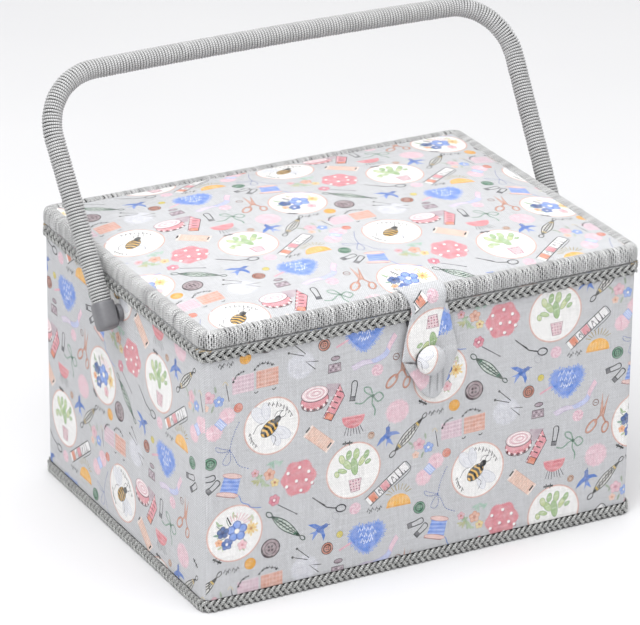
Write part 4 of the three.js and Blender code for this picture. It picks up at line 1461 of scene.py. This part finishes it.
def add_lid_cloth():
    xs, ys, bow = crown_heights()
    gx, gy = np.meshgrid(xs, ys, indexing="ij")
    ripple = 0.25 * np.sin(gx / 19 + gy / 31) * np.sin(gy / 17 - gx / 41)
    grid = LID_EDGE + LID_CROWN * bow + ripple * bow
    slope_x = np.gradient(grid, xs, axis=0)
    slope_y = np.gradient(grid, ys, axis=1)

    def shape(flat):
        z = surface_value(xs, ys, grid, flat[:, 0], flat[:, 1])
        return np.column_stack([flat, z])

    low, high = np.array([xs[0], ys[0]]), np.array([xs[-1], ys[-1]])
    outline = [low, (high[0], low[1]), high, (low[0], high[1])]
    cuts = grid_cuts(low, high, xs[1] - xs[0], ys[1] - ys[0])
    cover = printed_sheet("lid_top_cloth", outline, LID_CLOTH, shape, cuts)
    co = np.array([v.co[:] for v in cover.data.vertices]) / MM
    nx = -surface_value(xs, ys, slope_x, co[:, 0], co[:, 1])
    ny = -surface_value(xs, ys, slope_y, co[:, 0], co[:, 1])
    normals = np.column_stack([nx, ny, np.ones(len(nx))])
    normals /= np.linalg.norm(normals, axis=1)[:, None]
    cover.data.normals_split_custom_set_from_vertices(normals.tolist())
    settle(cover, "lid", "print_cloth", "lid_cover")
    inset = 1.2
    top = np.column_stack([gx.ravel() * 0.992, gy.ravel() * 0.992, grid.ravel() - inset])
    floor = top.copy()
    floor[:, 2] = PAD_LOW[2]
    count = len(xs) * len(ys)
    faces = lattice_faces(len(xs), len(ys))
    under = [[v + count for v in face[::-1]] for face in faces]
    ring = [i * len(ys) for i in range(len(xs))]
    ring += [(len(xs) - 1) * len(ys) + j for j in range(1, len(ys))]
    ring += [i * len(ys) + len(ys) - 1 for i in range(len(xs) - 2, -1, -1)]
    ring += list(range(len(ys) - 2, 0, -1))
    sides = [[a, a + count, b + count, b] for a, b in zip(ring, ring[1:] + ring[:1])]
    foam = mesh_object("lid_foam", np.vstack([top, floor]), faces + under + sides, "foam")
    settle(foam, "lid", "foam", "lid_pad")


# ---------------------------------------------------------------- the closing loop and its button


LOOP_FACE = -RIM_Y - 0.35
STRAP_TURN = 187.0
STRAP_TOP = 201.5


def edge_distance(points, outline):
    """How far each point is from an outline."""
    best = np.full(len(points), 1e9)
    for a, b in zip(outline, np.roll(outline, -1, 0)):
        along = b - a
        t = np.clip(((points - a) @ along) / max(along @ along, 1e-9), 0, 1)
        gap = np.linalg.norm(points - a - t[:, None] * along, axis=1)
        best = np.minimum(best, gap)
    return best


# The folds below the button: each one's foot, and how far it leans for each millimetre of drop.
PLEATS = ((2.4, -0.04), (6.8, 0.0), (10.2, 0.04))


def strap_shape(outline, lift, puff, pleated=0):
    """How a strap's flat piece lies: down the box's front, and over the lid's rim at its top."""
    outline = np.array(outline, float)
    bend_radius = RIM_TOP + 0.5 - STRAP_TURN

    def shape(flat):
        x, t = flat[:, 0], flat[:, 1]
        away = edge_distance(flat, outline)
        rise = lift + puff * (1 - np.exp(-away / 1.1))
        span_down = np.clip((BUTTON_Z - 7 - t) / 4, 0, 1) * np.clip((t - 119) / 7, 0, 1)
        for foot, lean in PLEATS:
            off = x - foot - lean * (BUTTON_Z - t)
            rise = rise - pleated * 1.3 * span_down * np.exp(-((off / 0.6) ** 2))
        angle = np.clip((t - STRAP_TURN) / bend_radius, 0, math.pi / 2)
        beyond = np.maximum(t - STRAP_TURN - bend_radius * math.pi / 2, 0)
        reach = bend_radius + rise
        y = LOOP_FACE + bend_radius - reach * np.cos(angle) + beyond
        z = np.where(t < STRAP_TURN, t, STRAP_TURN + reach * np.sin(angle))
        z = z - 0.1 * beyond
        return np.column_stack([x, y, z])

    return shape


def strap_cuts(outline, pleated=0):
    """Lines that let a strap's edge roll over: a grid, and the outline drawn smaller."""
    outline = np.array(outline, float)
    cuts = grid_cuts(outline.min(0), outline.max(0), 2.5, 2.5)
    ahead = np.roll(outline, -1, 0) - np.roll(outline, 1, 0)
    ahead /= np.linalg.norm(ahead, axis=1)[:, None]
    inward = np.stack([-ahead[:, 1], ahead[:, 0]], 1)
    for inset in (0.35, 0.9, 1.8):
        inner = outline + inward * inset
        cuts += [[a, b] for a, b in zip(inner, np.roll(inner, -1, 0))]
    if pleated:
        for foot, lean in PLEATS:
            for off in np.arange(-1.5, 1.6, 0.3):
                bottom, top = BUTTON_Z - 28, BUTTON_Z - 5
                cuts.append([(foot + off + lean * (BUTTON_Z - z), z) for z in (bottom, top)])
        cuts += grid_cuts((0, BUTTON_Z - 28), (12, BUTTON_Z - 5), 6, 0.8)
    return cuts


LEFT_ARM = bend(
    [
        (12.7, 200.4), (12.9, 192), (12.4, 187), (11.2, 181), (9.4, 174), (8.2, 167), (6.8, 160), (3.6, 152),
        (-2.0, 147), (-8.3, 145.4), (-13.0, 146.6), (-18.8, 147.6), (-18.6, 152), (-17.5, 160), (-15.9, 168),
        (-14.0, 176), (-13.0, 181), (-14.2, 186), (-17.0, 192), (-21.0, 200.4),
    ],
    3,
)[::-1]
RIGHT_ARM = bend(
    [
        (2.0, 184), (12.4, 183), (14.8, 178), (16.4, 172), (18.2, 164), (20.2, 157), (22.0, 150),
        (20.4, 143), (14.0, 140), (7.0, 144), (2.0, 152), (0.5, 165),
    ],
    3,
)
MITRE = bend(
    [
        (-18.2, 147.4), (-12.0, 145.0), (-4.0, 145.6), (6.0, 150.0), (14.0, 153.0), (20.6, 151.6),
        (21.4, 147.4), (19.6, 141.4), (16.6, 134.6), (13.8, 128.0), (11.4, 122.4), (8.4, 118.8),
        (4.0, 117.8), (-1.4, 121.2), (-5.8, 126.0), (-11.0, 134.4), (-15.6, 142.0), (-18.2, 147.4),
    ],
    3,
)[:-1]
STRAP_FOLD = bend(
    [
        (-21.2, 200.4), (-17.2, 193), (-14.4, 186.6), (-13.2, 181), (-13.6, 175),
        (-10.8, 179), (-10.8, 185), (-12.8, 191), (-16.4, 200.4),
    ],
    3,
)


def thickened(obj, thickness):
    """Gives a cloth surface its thickness for good."""
    solid = obj.modifiers.new("thickness", "SOLIDIFY")
    solid.thickness = thickness * MM
    solid.offset = -1
    shown = obj.evaluated_get(bpy.context.evaluated_depsgraph_get())
    mesh = bpy.data.meshes.new_from_object(shown)
    obj.modifiers.clear()
    obj.data = mesh
    return obj


def add_loop():
    """The closing loop: a strap whose two arms cross at the neck and are folded together below the button."""
    arms = (
        ("loop_right_arm", RIGHT_ARM, 0.0, 0.9, Cloth((97.6, 99.0), turn=196, only=(blue_heart,)), 0),
        ("loop_mitre", MITRE, 0.5, 1.0, Cloth((-97.9, 142.0), only=(pink_pompom,)), 1),
        ("loop_left_arm", LEFT_ARM, 0.85, 1.1, Cloth((62.5, 117.5), turn=180, only=(cactus_hoop, tape_strip, pink_dot), nudge={tape_strip: (-4.5, -3.3)}), 0),
        ("loop_fold", STRAP_FOLD, 1.5, 1.0, Cloth((30, 60), only=(pink_dot,)), 0),
    )
    angles = np.arange(28) * TURN / 28
    hole = np.stack([-1 + 8.6 * np.cos(angles), BUTTON_Z + 8.6 * np.sin(angles)], 1)
    for name, outline, lift, puff, cloth, pleated in arms:
        x, y = outline[:, 0], outline[:, 1]
        if x @ np.roll(y, -1) < y @ np.roll(x, -1):
            outline = outline[::-1]
        shape = strap_shape(outline, lift, puff, pleated)
        arm = printed_sheet(name, outline, cloth, shape, strap_cuts(outline, pleated), [hole])
        thickened(arm, 0.5)
        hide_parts("closure_loop")
        if outline[:, 1].max() > RIM_TOP:
            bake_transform(arm)
        else:
            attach(arm, "loop")


def button_print():
    """The button's own scrap of print: part of a hoop and a few marks."""
    return Cloth((-17.5, 7.0), turn=35)


def add_button():
    profile = np.array(
        [(0, 0), (3.5, 0.15), (6.4, 0.7), (8.4, 1.7), (9.6, 3.2), (10.0, 4.9), (9.8, 6.4), (9.0, 7.6), (7.6, 8.3)]
    )
    profile = bend(profile, 5)
    step = np.linalg.norm(np.diff(profile, axis=0), axis=1)
    run = np.concatenate([[0], np.cumsum(step)])
    front = BUTTON_LOW[1]

    def shape(flat):
        away = np.linalg.norm(flat, axis=1)
        angle = np.arctan2(flat[:, 1], flat[:, 0])
        radius = np.interp(away, run, profile[:, 0])
        depth = np.interp(away, run, profile[:, 1])
        pleat = np.clip((away - 8) / 5, 0, 1) * 0.13 * np.sin(19 * angle + 2 * np.sin(3 * angle))
        radius = radius + pleat
        return np.column_stack([radius * np.cos(angle), front + depth, BUTTON_Z + radius * np.sin(angle)])

    size = run[-1] - 0.05
    angles = np.arange(72) * TURN / 72
    outline = np.stack([size * np.cos(angles), size * np.sin(angles)], 1)
    cuts = []
    for ring in np.arange(1.0, size, 1.0):
        inner = outline * ring / size
        cuts += [[a, b] for a, b in zip(inner, np.roll(inner, -1, 0))]
    cap = printed_sheet("button_cloth", outline, button_print(), shape, cuts)
    settle(cap, "box", "print_cloth", "button_head")


# ---------------------------------------------------------------- the handle


def handle_line():
    """The handle's centre line in its own plane, from one end to the other, with its direction."""
    foot = np.array([PIVOT_X, HANDLE_START])
    bend_x = HANDLE_TOP_HALF - HANDLE_BEND
    bend_z = HANDLE_REACH - HANDLE_BEND
    half = [foot, (HANDLE_TOP_HALF, bend_z)]
    for angle in np.linspace(0, math.pi / 2, 40)[1:]:
        half.append((bend_x + HANDLE_BEND * math.cos(angle), bend_z + HANDLE_BEND * math.sin(angle)))
    for part in np.linspace(0, 1, 30)[1:]:
        half.append((bend_x * (1 - part), HANDLE_REACH + HANDLE_CROWN * (1 - (1 - part) ** 2)))
    half = np.array(half, float)
    other = half[::-1][1:] * np.array([-1, 1])
    return np.vstack([half, other])


def in_space(flat, forward):
    """Points of the handle's plane, and how far forward of it they are, in the row frame."""
    x, h = flat[..., 0], flat[..., 1]
    y = h * math.sin(HANDLE_LEAN) - forward * math.cos(HANDLE_LEAN)
    z = PIVOT_Z + h * math.cos(HANDLE_LEAN) + forward * math.sin(HANDLE_LEAN)
    return np.stack([x, y, z], -1)


def along_handle(spacing):
    line_points = handle_line()
    step = np.linalg.norm(np.diff(line_points, axis=0), axis=1)
    run = np.concatenate([[0], np.cumsum(step)])
    at = np.linspace(0, run[-1], int(run[-1] / spacing))
    flat = np.stack([np.interp(at, run, line_points[:, k]) for k in (0, 1)], 1)
    ahead = np.gradient(flat, axis=0)
    ahead /= np.linalg.norm(ahead, axis=1)[:, None]
    side = np.stack([-ahead[:, 1], ahead[:, 0]], 1)
    return at, flat, ahead, side


def add_handle():
    sides = 15
    at, flat, ahead, side = along_handle(WINDING_PITCH / sides)
    turns = at / WINDING_PITCH
    uneven = 0.1 * chance.standard_normal(int(turns[-1]) + 3)
    jitter = np.interp(turns, np.arange(len(uneven)), uneven)
    angle = TURN * turns
    lean = 0.33 * np.sin(angle + 0.8) + jitter * np.sin(angle + 2)
    radius = WINDING_RADIUS - WINDING_CORD + 0.06 * np.sin(turns * 0.9)
    centre = flat + ahead * lean[:, None] + side * (radius * np.cos(angle))[:, None]
    path = in_space(centre, radius * np.sin(angle))
    tangent = in_space(ahead, np.zeros(len(ahead))) - in_space(np.zeros(2), 0.0)
    cords = Cords()
    cords.lay(path, WINDING_CORD, tangent, 6, shade=1.0)
    winding = cords.make("handle_winding_cord", "winding")
    settle(winding, "handle", "winding", "handle_winding")
    # A near-black tube just inside the winding: painted shade seen through the gaps between its turns.
    _, flat, ahead, side = along_handle(4.0)
    angles = np.arange(16) * TURN / 16
    size = WINDING_RADIUS - 1.35
    ring = flat[:, None, :] + side[:, None, :] * (size * np.cos(angles))[None, :, None]
    points = in_space(ring, np.broadcast_to(size * np.sin(angles), ring.shape[:2]))
    core = mesh_object("handle_backing", points.reshape(-1, 3), lattice_faces(len(flat), 16, False, True), "shadow")
    settle(core, "handle", "winding", "handle_winding")


CAP_HALF_X = 7.2
CAP_HALF_Y = 8.2


def add_caps():
    """The moulded grey caps that hold the handle's ends: rounded ovals, hollow at the top."""
    angles = np.arange(56) * TURN / 56
    squareness = 2.7
    c, s = np.cos(angles), np.sin(angles)
    reach = (np.abs(c) ** squareness + np.abs(s) ** squareness) ** (-1 / squareness)
    levels = (
        (-9.0, 0.0), (-9.0, 0.55), (-8.9, 0.78), (-8.5, 0.88), (-7.7, 0.95), (-6.4, 0.985),
        (-3.0, 1.0), (3.0, 1.0), (7.4, 0.985), (8.2, 0.965), (8.5, 0.93), (8.45, 0.9), (8.0, 0.885), (5.0, 0.88),
    )
    for name, side in (("left", -1), ("right", 1)):
        rows = []
        for height, scale in levels:
            x = side * PIVOT_X + CAP_HALF_X * scale * reach * c
            forward = CAP_HALF_Y * scale * reach * s
            flat = np.stack([x, np.full(len(x), height)], -1)
            rows.append(in_space(flat, forward))
        points = np.array(rows).reshape(-1, 3)
        cap = mesh_object("cap_" + name, points, lattice_faces(len(levels), len(angles), False, True), "grey_plastic")
        settle(cap, "handle", "grey_plastic", "end_cap_" + name)


# ---------------------------------------------------------------- hard parts taken from the CAD


def refine(node, body, slot, edge, name=None):
    """The CAD part again, with its edges rounded and its finish on."""
    mesh = frame["nodes"][node].data.copy()
    shape = bmesh.new()
    shape.from_mesh(mesh)
    bmesh.ops.remove_doubles(shape, verts=shape.verts, dist=1e-6)
    bmesh.ops.dissolve_limit(shape, angle_limit=0.02, verts=shape.verts, edges=shape.edges)
    sharp = [e for e in shape.edges if len(e.link_faces) == 2 and e.calc_face_angle(0) > 0.5]
    bmesh.ops.bevel(
        shape, geom=sharp, offset=edge * MM, segments=2, profile=0.6, affect="EDGES", clamp_overlap=True
    )
    shape.to_mesh(mesh)
    shape.free()
    mesh.materials.clear()
    mesh.materials.append(LOOKS[slot])
    mesh.polygons.foreach_set("use_smooth", [True] * len(mesh.polygons))
    mesh.set_sharp_from_angle(angle=0.7)
    obj = bpy.data.objects.new(name or node + "_finished", mesh)
    bpy.context.scene.collection.objects.link(obj)
    return settle(obj, body, slot, node)


def add_hard_parts():
    for side in ("left", "right"):
        refine("tray_" + side, "tray_" + side, "tray_plastic", 0.5)
        refine("hinge_box_leaf_" + side, "box", "steel", 0.2)
        refine("hinge_lid_leaf_" + side, "lid", "steel", 0.2)
        refine("pivot_spacer_" + side, "box", "grey_plastic", 0.3)
        refine("pivot_plate_" + side, "box", "plated_steel", 0.15)
        refine("pivot_screw_" + side, "box", "plated_steel", 0.25)
    for end in ("front", "back"):
        refine(end + "_ledge", "box", "lining_board", 0.6)


def paint_node(node, slot):
    """Puts a finish on a CAD part that stays as it is."""
    mesh = frame["nodes"][node].data
    mesh.materials.clear()
    mesh.materials.append(LOOKS[slot])


def paint_nodes():
    for board in ("front", "back", "left", "right", "base"):
        paint_node(board + "_board", "board")
    paint_node("lid_board", "board")
    paint_node("base_cloth", "base_felt")
    paint_node("handle_core", "cane")
    paint_node("button_post", "plated_steel")
    paint_node("button_washer", "plated_steel")
    for side in ("left", "right"):
        paint_node("hinge_pin_" + side, "plated_steel")
    for lining, held, rests in (
        ("side_lining", "stretched", "front_board"),
        ("base_lining", "laid", "base_board"),
        ("lid_lining", "stretched", "lid_board"),
    ):
        paint_node(lining, "lining_cloth")


# ---------------------------------------------------------------- under the lid


def add_pocket():
    """A gathered pocket on the lid's underside, its open edge held by elastic."""
    low, high = span("lid_pocket")
    columns, rows = 120, 40
    u = np.linspace(0, 1, columns)[:, None]
    v = np.linspace(0, 1, rows)[None, :]
    x = low[0] + (high[0] - low[0]) * u + 0 * v
    y = low[1] + (high[1] - low[1]) * v + 0 * u
    hem = np.clip(np.minimum(np.minimum(u, 1 - u) * 12, v * 9), 0, 1)
    gather = np.sin(u * TURN * 13 + 0.6 * np.sin(u * 31)) * (0.25 + 0.75 * v**2)
    belly = np.sin(math.pi * np.clip(v, 0, 0.96)) ** 0.6
    drop = hem * (0.7 + 1.1 * belly + 0.75 * gather * np.clip(v * 1.3, 0, 1))
    z = high[2] - np.clip(drop, 0.05, high[2] - low[2] - 0.05)
    points = np.stack([x, y, z], -1).reshape(-1, 3)
    pocket = mesh_object("lid_pocket_cloth", points, lattice_faces(columns, rows), "pocket_cloth")
    thick = pocket.modifiers.new("cloth thickness", "SOLIDIFY")
    thick.thickness = 0.35 * MM
    settle(pocket, "lid", "pocket_cloth", "lid_pocket")
    elastic = Cords()
    for k in range(3):
        along = np.linspace(low[0] + 2, high[0] - 2, 90)
        level = high[2] - 1.9 - 0.5 * np.sin((along - low[0]) / (high[0] - low[0]) * TURN * 13)
        path = np.column_stack([along, np.full(90, high[1] - 1.2 - 1.5 * k), np.maximum(level, low[2] + 0.5)])
        elastic.lay(path, 0.5, (0, 1, 0), 6)
    settle(elastic.make("lid_pocket_elastic", "braid"), "lid", "pocket_cloth")


def add_pincushion():
    """A stuffed pincushion: a rounded block that its own stuffing pushes out, capped to its size."""
    low, high = span("lid_pincushion")
    centre = (low + high) / 2
    half = (high - low) / 2
    bpy.ops.mesh.primitive_cube_add(size=2)
    cushion = bpy.context.object
    cushion.name = "pincushion"
    cushion.data.name = "pincushion"
    cushion.data.transform(Matrix.Diagonal((*(half * 0.93 * MM), 1.0)))
    block = bmesh.new()
    block.from_mesh(cushion.data)
    bmesh.ops.bevel(
        block, geom=list(block.edges), offset=2.6 * MM, segments=3, affect="EDGES", profile=0.5
    )
    block.to_mesh(cushion.data)
    block.free()
    cushion.data.remesh_voxel_size = 2.2 * MM
    bpy.ops.object.voxel_remesh()
    cloth = cushion.modifiers.new("cloth", "CLOTH")
    cloth.settings.quality = 5
    cloth.settings.use_pressure = True
    cloth.settings.uniform_pressure_force = 4.0
    cloth.settings.effector_weights.gravity = 0.0
    for number in range(1, 21):
        bpy.context.scene.frame_set(number)
    shown = cushion.evaluated_get(bpy.context.evaluated_depsgraph_get())
    pushed = np.array([v.co[:] for v in shown.data.vertices])
    cushion.modifiers.clear()
    bpy.context.scene.frame_set(1)
    limit = half * MM
    pushed = np.clip(pushed, -limit, limit)
    cushion.data.vertices.foreach_set("co", pushed.astype(np.float32).ravel())
    co = np.array([v.co[:] for v in cushion.data.vertices])
    tuft = np.exp(-(co[:, 0] ** 2 + co[:, 1] ** 2) / (9 * MM) ** 2)
    co[:, 2] += np.where(co[:, 2] < 0, tuft * 2.2 * MM, 0)
    co += centre * MM
    cushion.data.vertices.foreach_set("co", co.astype(np.float32).ravel())
    cushion.data.materials.append(LOOKS["cushion_cloth"])
    cushion.data.polygons.foreach_set("use_smooth", [True] * len(cushion.data.polygons))
    settle(cushion, "lid", "cushion_cloth", "lid_pincushion")


# ---------------------------------------------------------------- small finishing pieces


def add_rivets():
    """Round-headed rivets through the hinges' leaves."""
    for leaf_name, body in (("hinge_box_leaf", "box"), ("hinge_lid_leaf", "lid")):
        for side in ("left", "right"):
            low, high = span(f"{leaf_name}_{side}")
            z = low[2] + 3.6 if body == "box" else high[2] - 3.6
            face = RIM_Y + 1.3
            rows, faces, count = [], [], 0
            for x in (low[0] + 6, (low[0] + high[0]) / 2, high[0] - 6):
                angles = np.arange(20) * TURN / 20
                for height, radius in ((0, 2.0), (0.5, 1.8), (0.85, 1.2), (1.0, 0.5), (1.0, 0.01)):
                    ring = np.column_stack(
                        [x + radius * np.cos(angles), np.full(20, face + height), z + radius * np.sin(angles)]
                    )
                    rows.append(ring)
                faces += lattice_faces(5, 20, False, True, count)
                count += 100
            rivets = mesh_object(f"{leaf_name}_{side}_rivets", np.vstack(rows), faces, "plated_steel")
            settle(rivets, body, "steel")


def add_loose_ends():
    """Frayed ends of cord in the gap under the lid's corners."""
    ends = Cords()
    for sx, sy in ((-1, -1), (1, -1), (-1, 1), (1, 1)):
        for k in range(7):
            a = math.atan2(sy, sx) + chance.uniform(-0.75, 0.75)
            start = np.array([sx * (RIM_X - 9), sy * (RIM_Y - 9)])
            out = np.array([math.cos(a), math.sin(a)])
            across = np.array([-out[1], out[0]])
            t = np.linspace(0, 1, 7)[:, None]
            slide = chance.uniform(-3, 3)
            flat = start + out * (7.4 + 1.5 * t) + across * (slide * t)
            height = RIM_BOTTOM - 0.5 - chance.uniform(0.2, 1.4) * t
            ends.lay(np.column_stack([flat, height]), 0.35 * (1 - 0.6 * t[:, 0]), (0, 0, 1), 5)
    settle(ends.make("loose_ends", "straw"), "box", "braid")


# ---------------------------------------------------------------- camera, floor and lights


def turned(azimuth, elevation, roll=0.0):
    """The axes of something that looks from that side: right, up and back."""
    a, e, r = (math.radians(v) for v in (azimuth, elevation, roll))
    back = np.array([math.sin(a) * math.cos(e), -math.cos(a) * math.cos(e), math.sin(e)])
    right = np.cross(-back, (0, 0, 1))
    right /= np.linalg.norm(right)
    up = np.cross(right, -back)
    return right * math.cos(r) + up * math.sin(r), up * math.cos(r) - right * math.sin(r), back


def place_along(obj, aim, distance, axes):
    right, up, back = axes
    spot = (np.array(aim) + back * distance) * MM
    rows = [[right[k], up[k], back[k], spot[k]] for k in range(3)]
    obj.matrix_world = Matrix(rows + [[0, 0, 0, 1]])


def add_camera():
    data = bpy.data.cameras.new("camera")
    data.lens = CAMERA_LENS
    data.sensor_width = 36
    data.clip_end = 50
    camera = bpy.data.objects.new("camera", data)
    bpy.context.scene.collection.objects.link(camera)
    axes = turned(CAMERA_AZIMUTH, CAMERA_ELEVATION, CAMERA_ROLL)
    place_along(camera, CAMERA_AIM, CAMERA_DISTANCE, axes)
    bpy.context.scene.camera = camera


def add_light(name, azimuth, elevation, distance, size, power):
    data = bpy.data.lights.new(name, "AREA")
    data.shape = "DISK"
    data.size = size
    data.energy = power
    light = bpy.data.objects.new(name, data)
    bpy.context.scene.collection.objects.link(light)
    place_along(light, (0, 0, 100), distance, turned(azimuth, elevation))


def add_stage():
    look = Look("floor", 0.6)
    shade = look.noise(4.0, 2.0)
    floor_look = look.finish(look.mix(shade, tone("d3d3d5"), tone("d8d8d9")))
    mesh = bpy.data.meshes.new("floor")
    half = 6.0
    mesh.from_pydata([(-half, -half, 0), (half, -half, 0), (half, half, 0), (-half, half, 0)], [], [(0, 1, 2, 3)])
    mesh.materials.append(floor_look)
    floor = bpy.data.objects.new("floor", mesh)
    bpy.context.scene.collection.objects.link(floor)
    world = bpy.data.worlds.new("studio")
    world.use_nodes = True
    world.node_tree.nodes["Background"].inputs["Color"].default_value = (1, 1, 1, 1)
    world.node_tree.nodes["Background"].inputs["Strength"].default_value = 0.71
    bpy.context.scene.world = world
    bpy.context.scene.view_settings.view_transform = "Standard"
    add_light("key", -60, 58, 1900, 1.5, 31)
    add_light("fill", 35, 40, 2300, 2.2, 15)
    add_light("top", 150, 75, 2000, 2.0, 14)


paint_nodes()
add_walls()
add_braid("top_trim", TOP_TRIM_LOW, TOP_TRIM_HIGH, 3, 2, 17.0, 1.0)
add_braid("bottom_trim", BOTTOM_TRIM_LOW, BOTTOM_TRIM_HIGH, 3, 2, 13.0, 1.0)
add_edge_tape()
add_rim()
add_lid_cloth()
add_loop()
add_button()
add_handle()
add_caps()
add_hard_parts()
add_pocket()
add_pincushion()
add_rivets()
add_loose_ends()
add_stage()
add_camera()
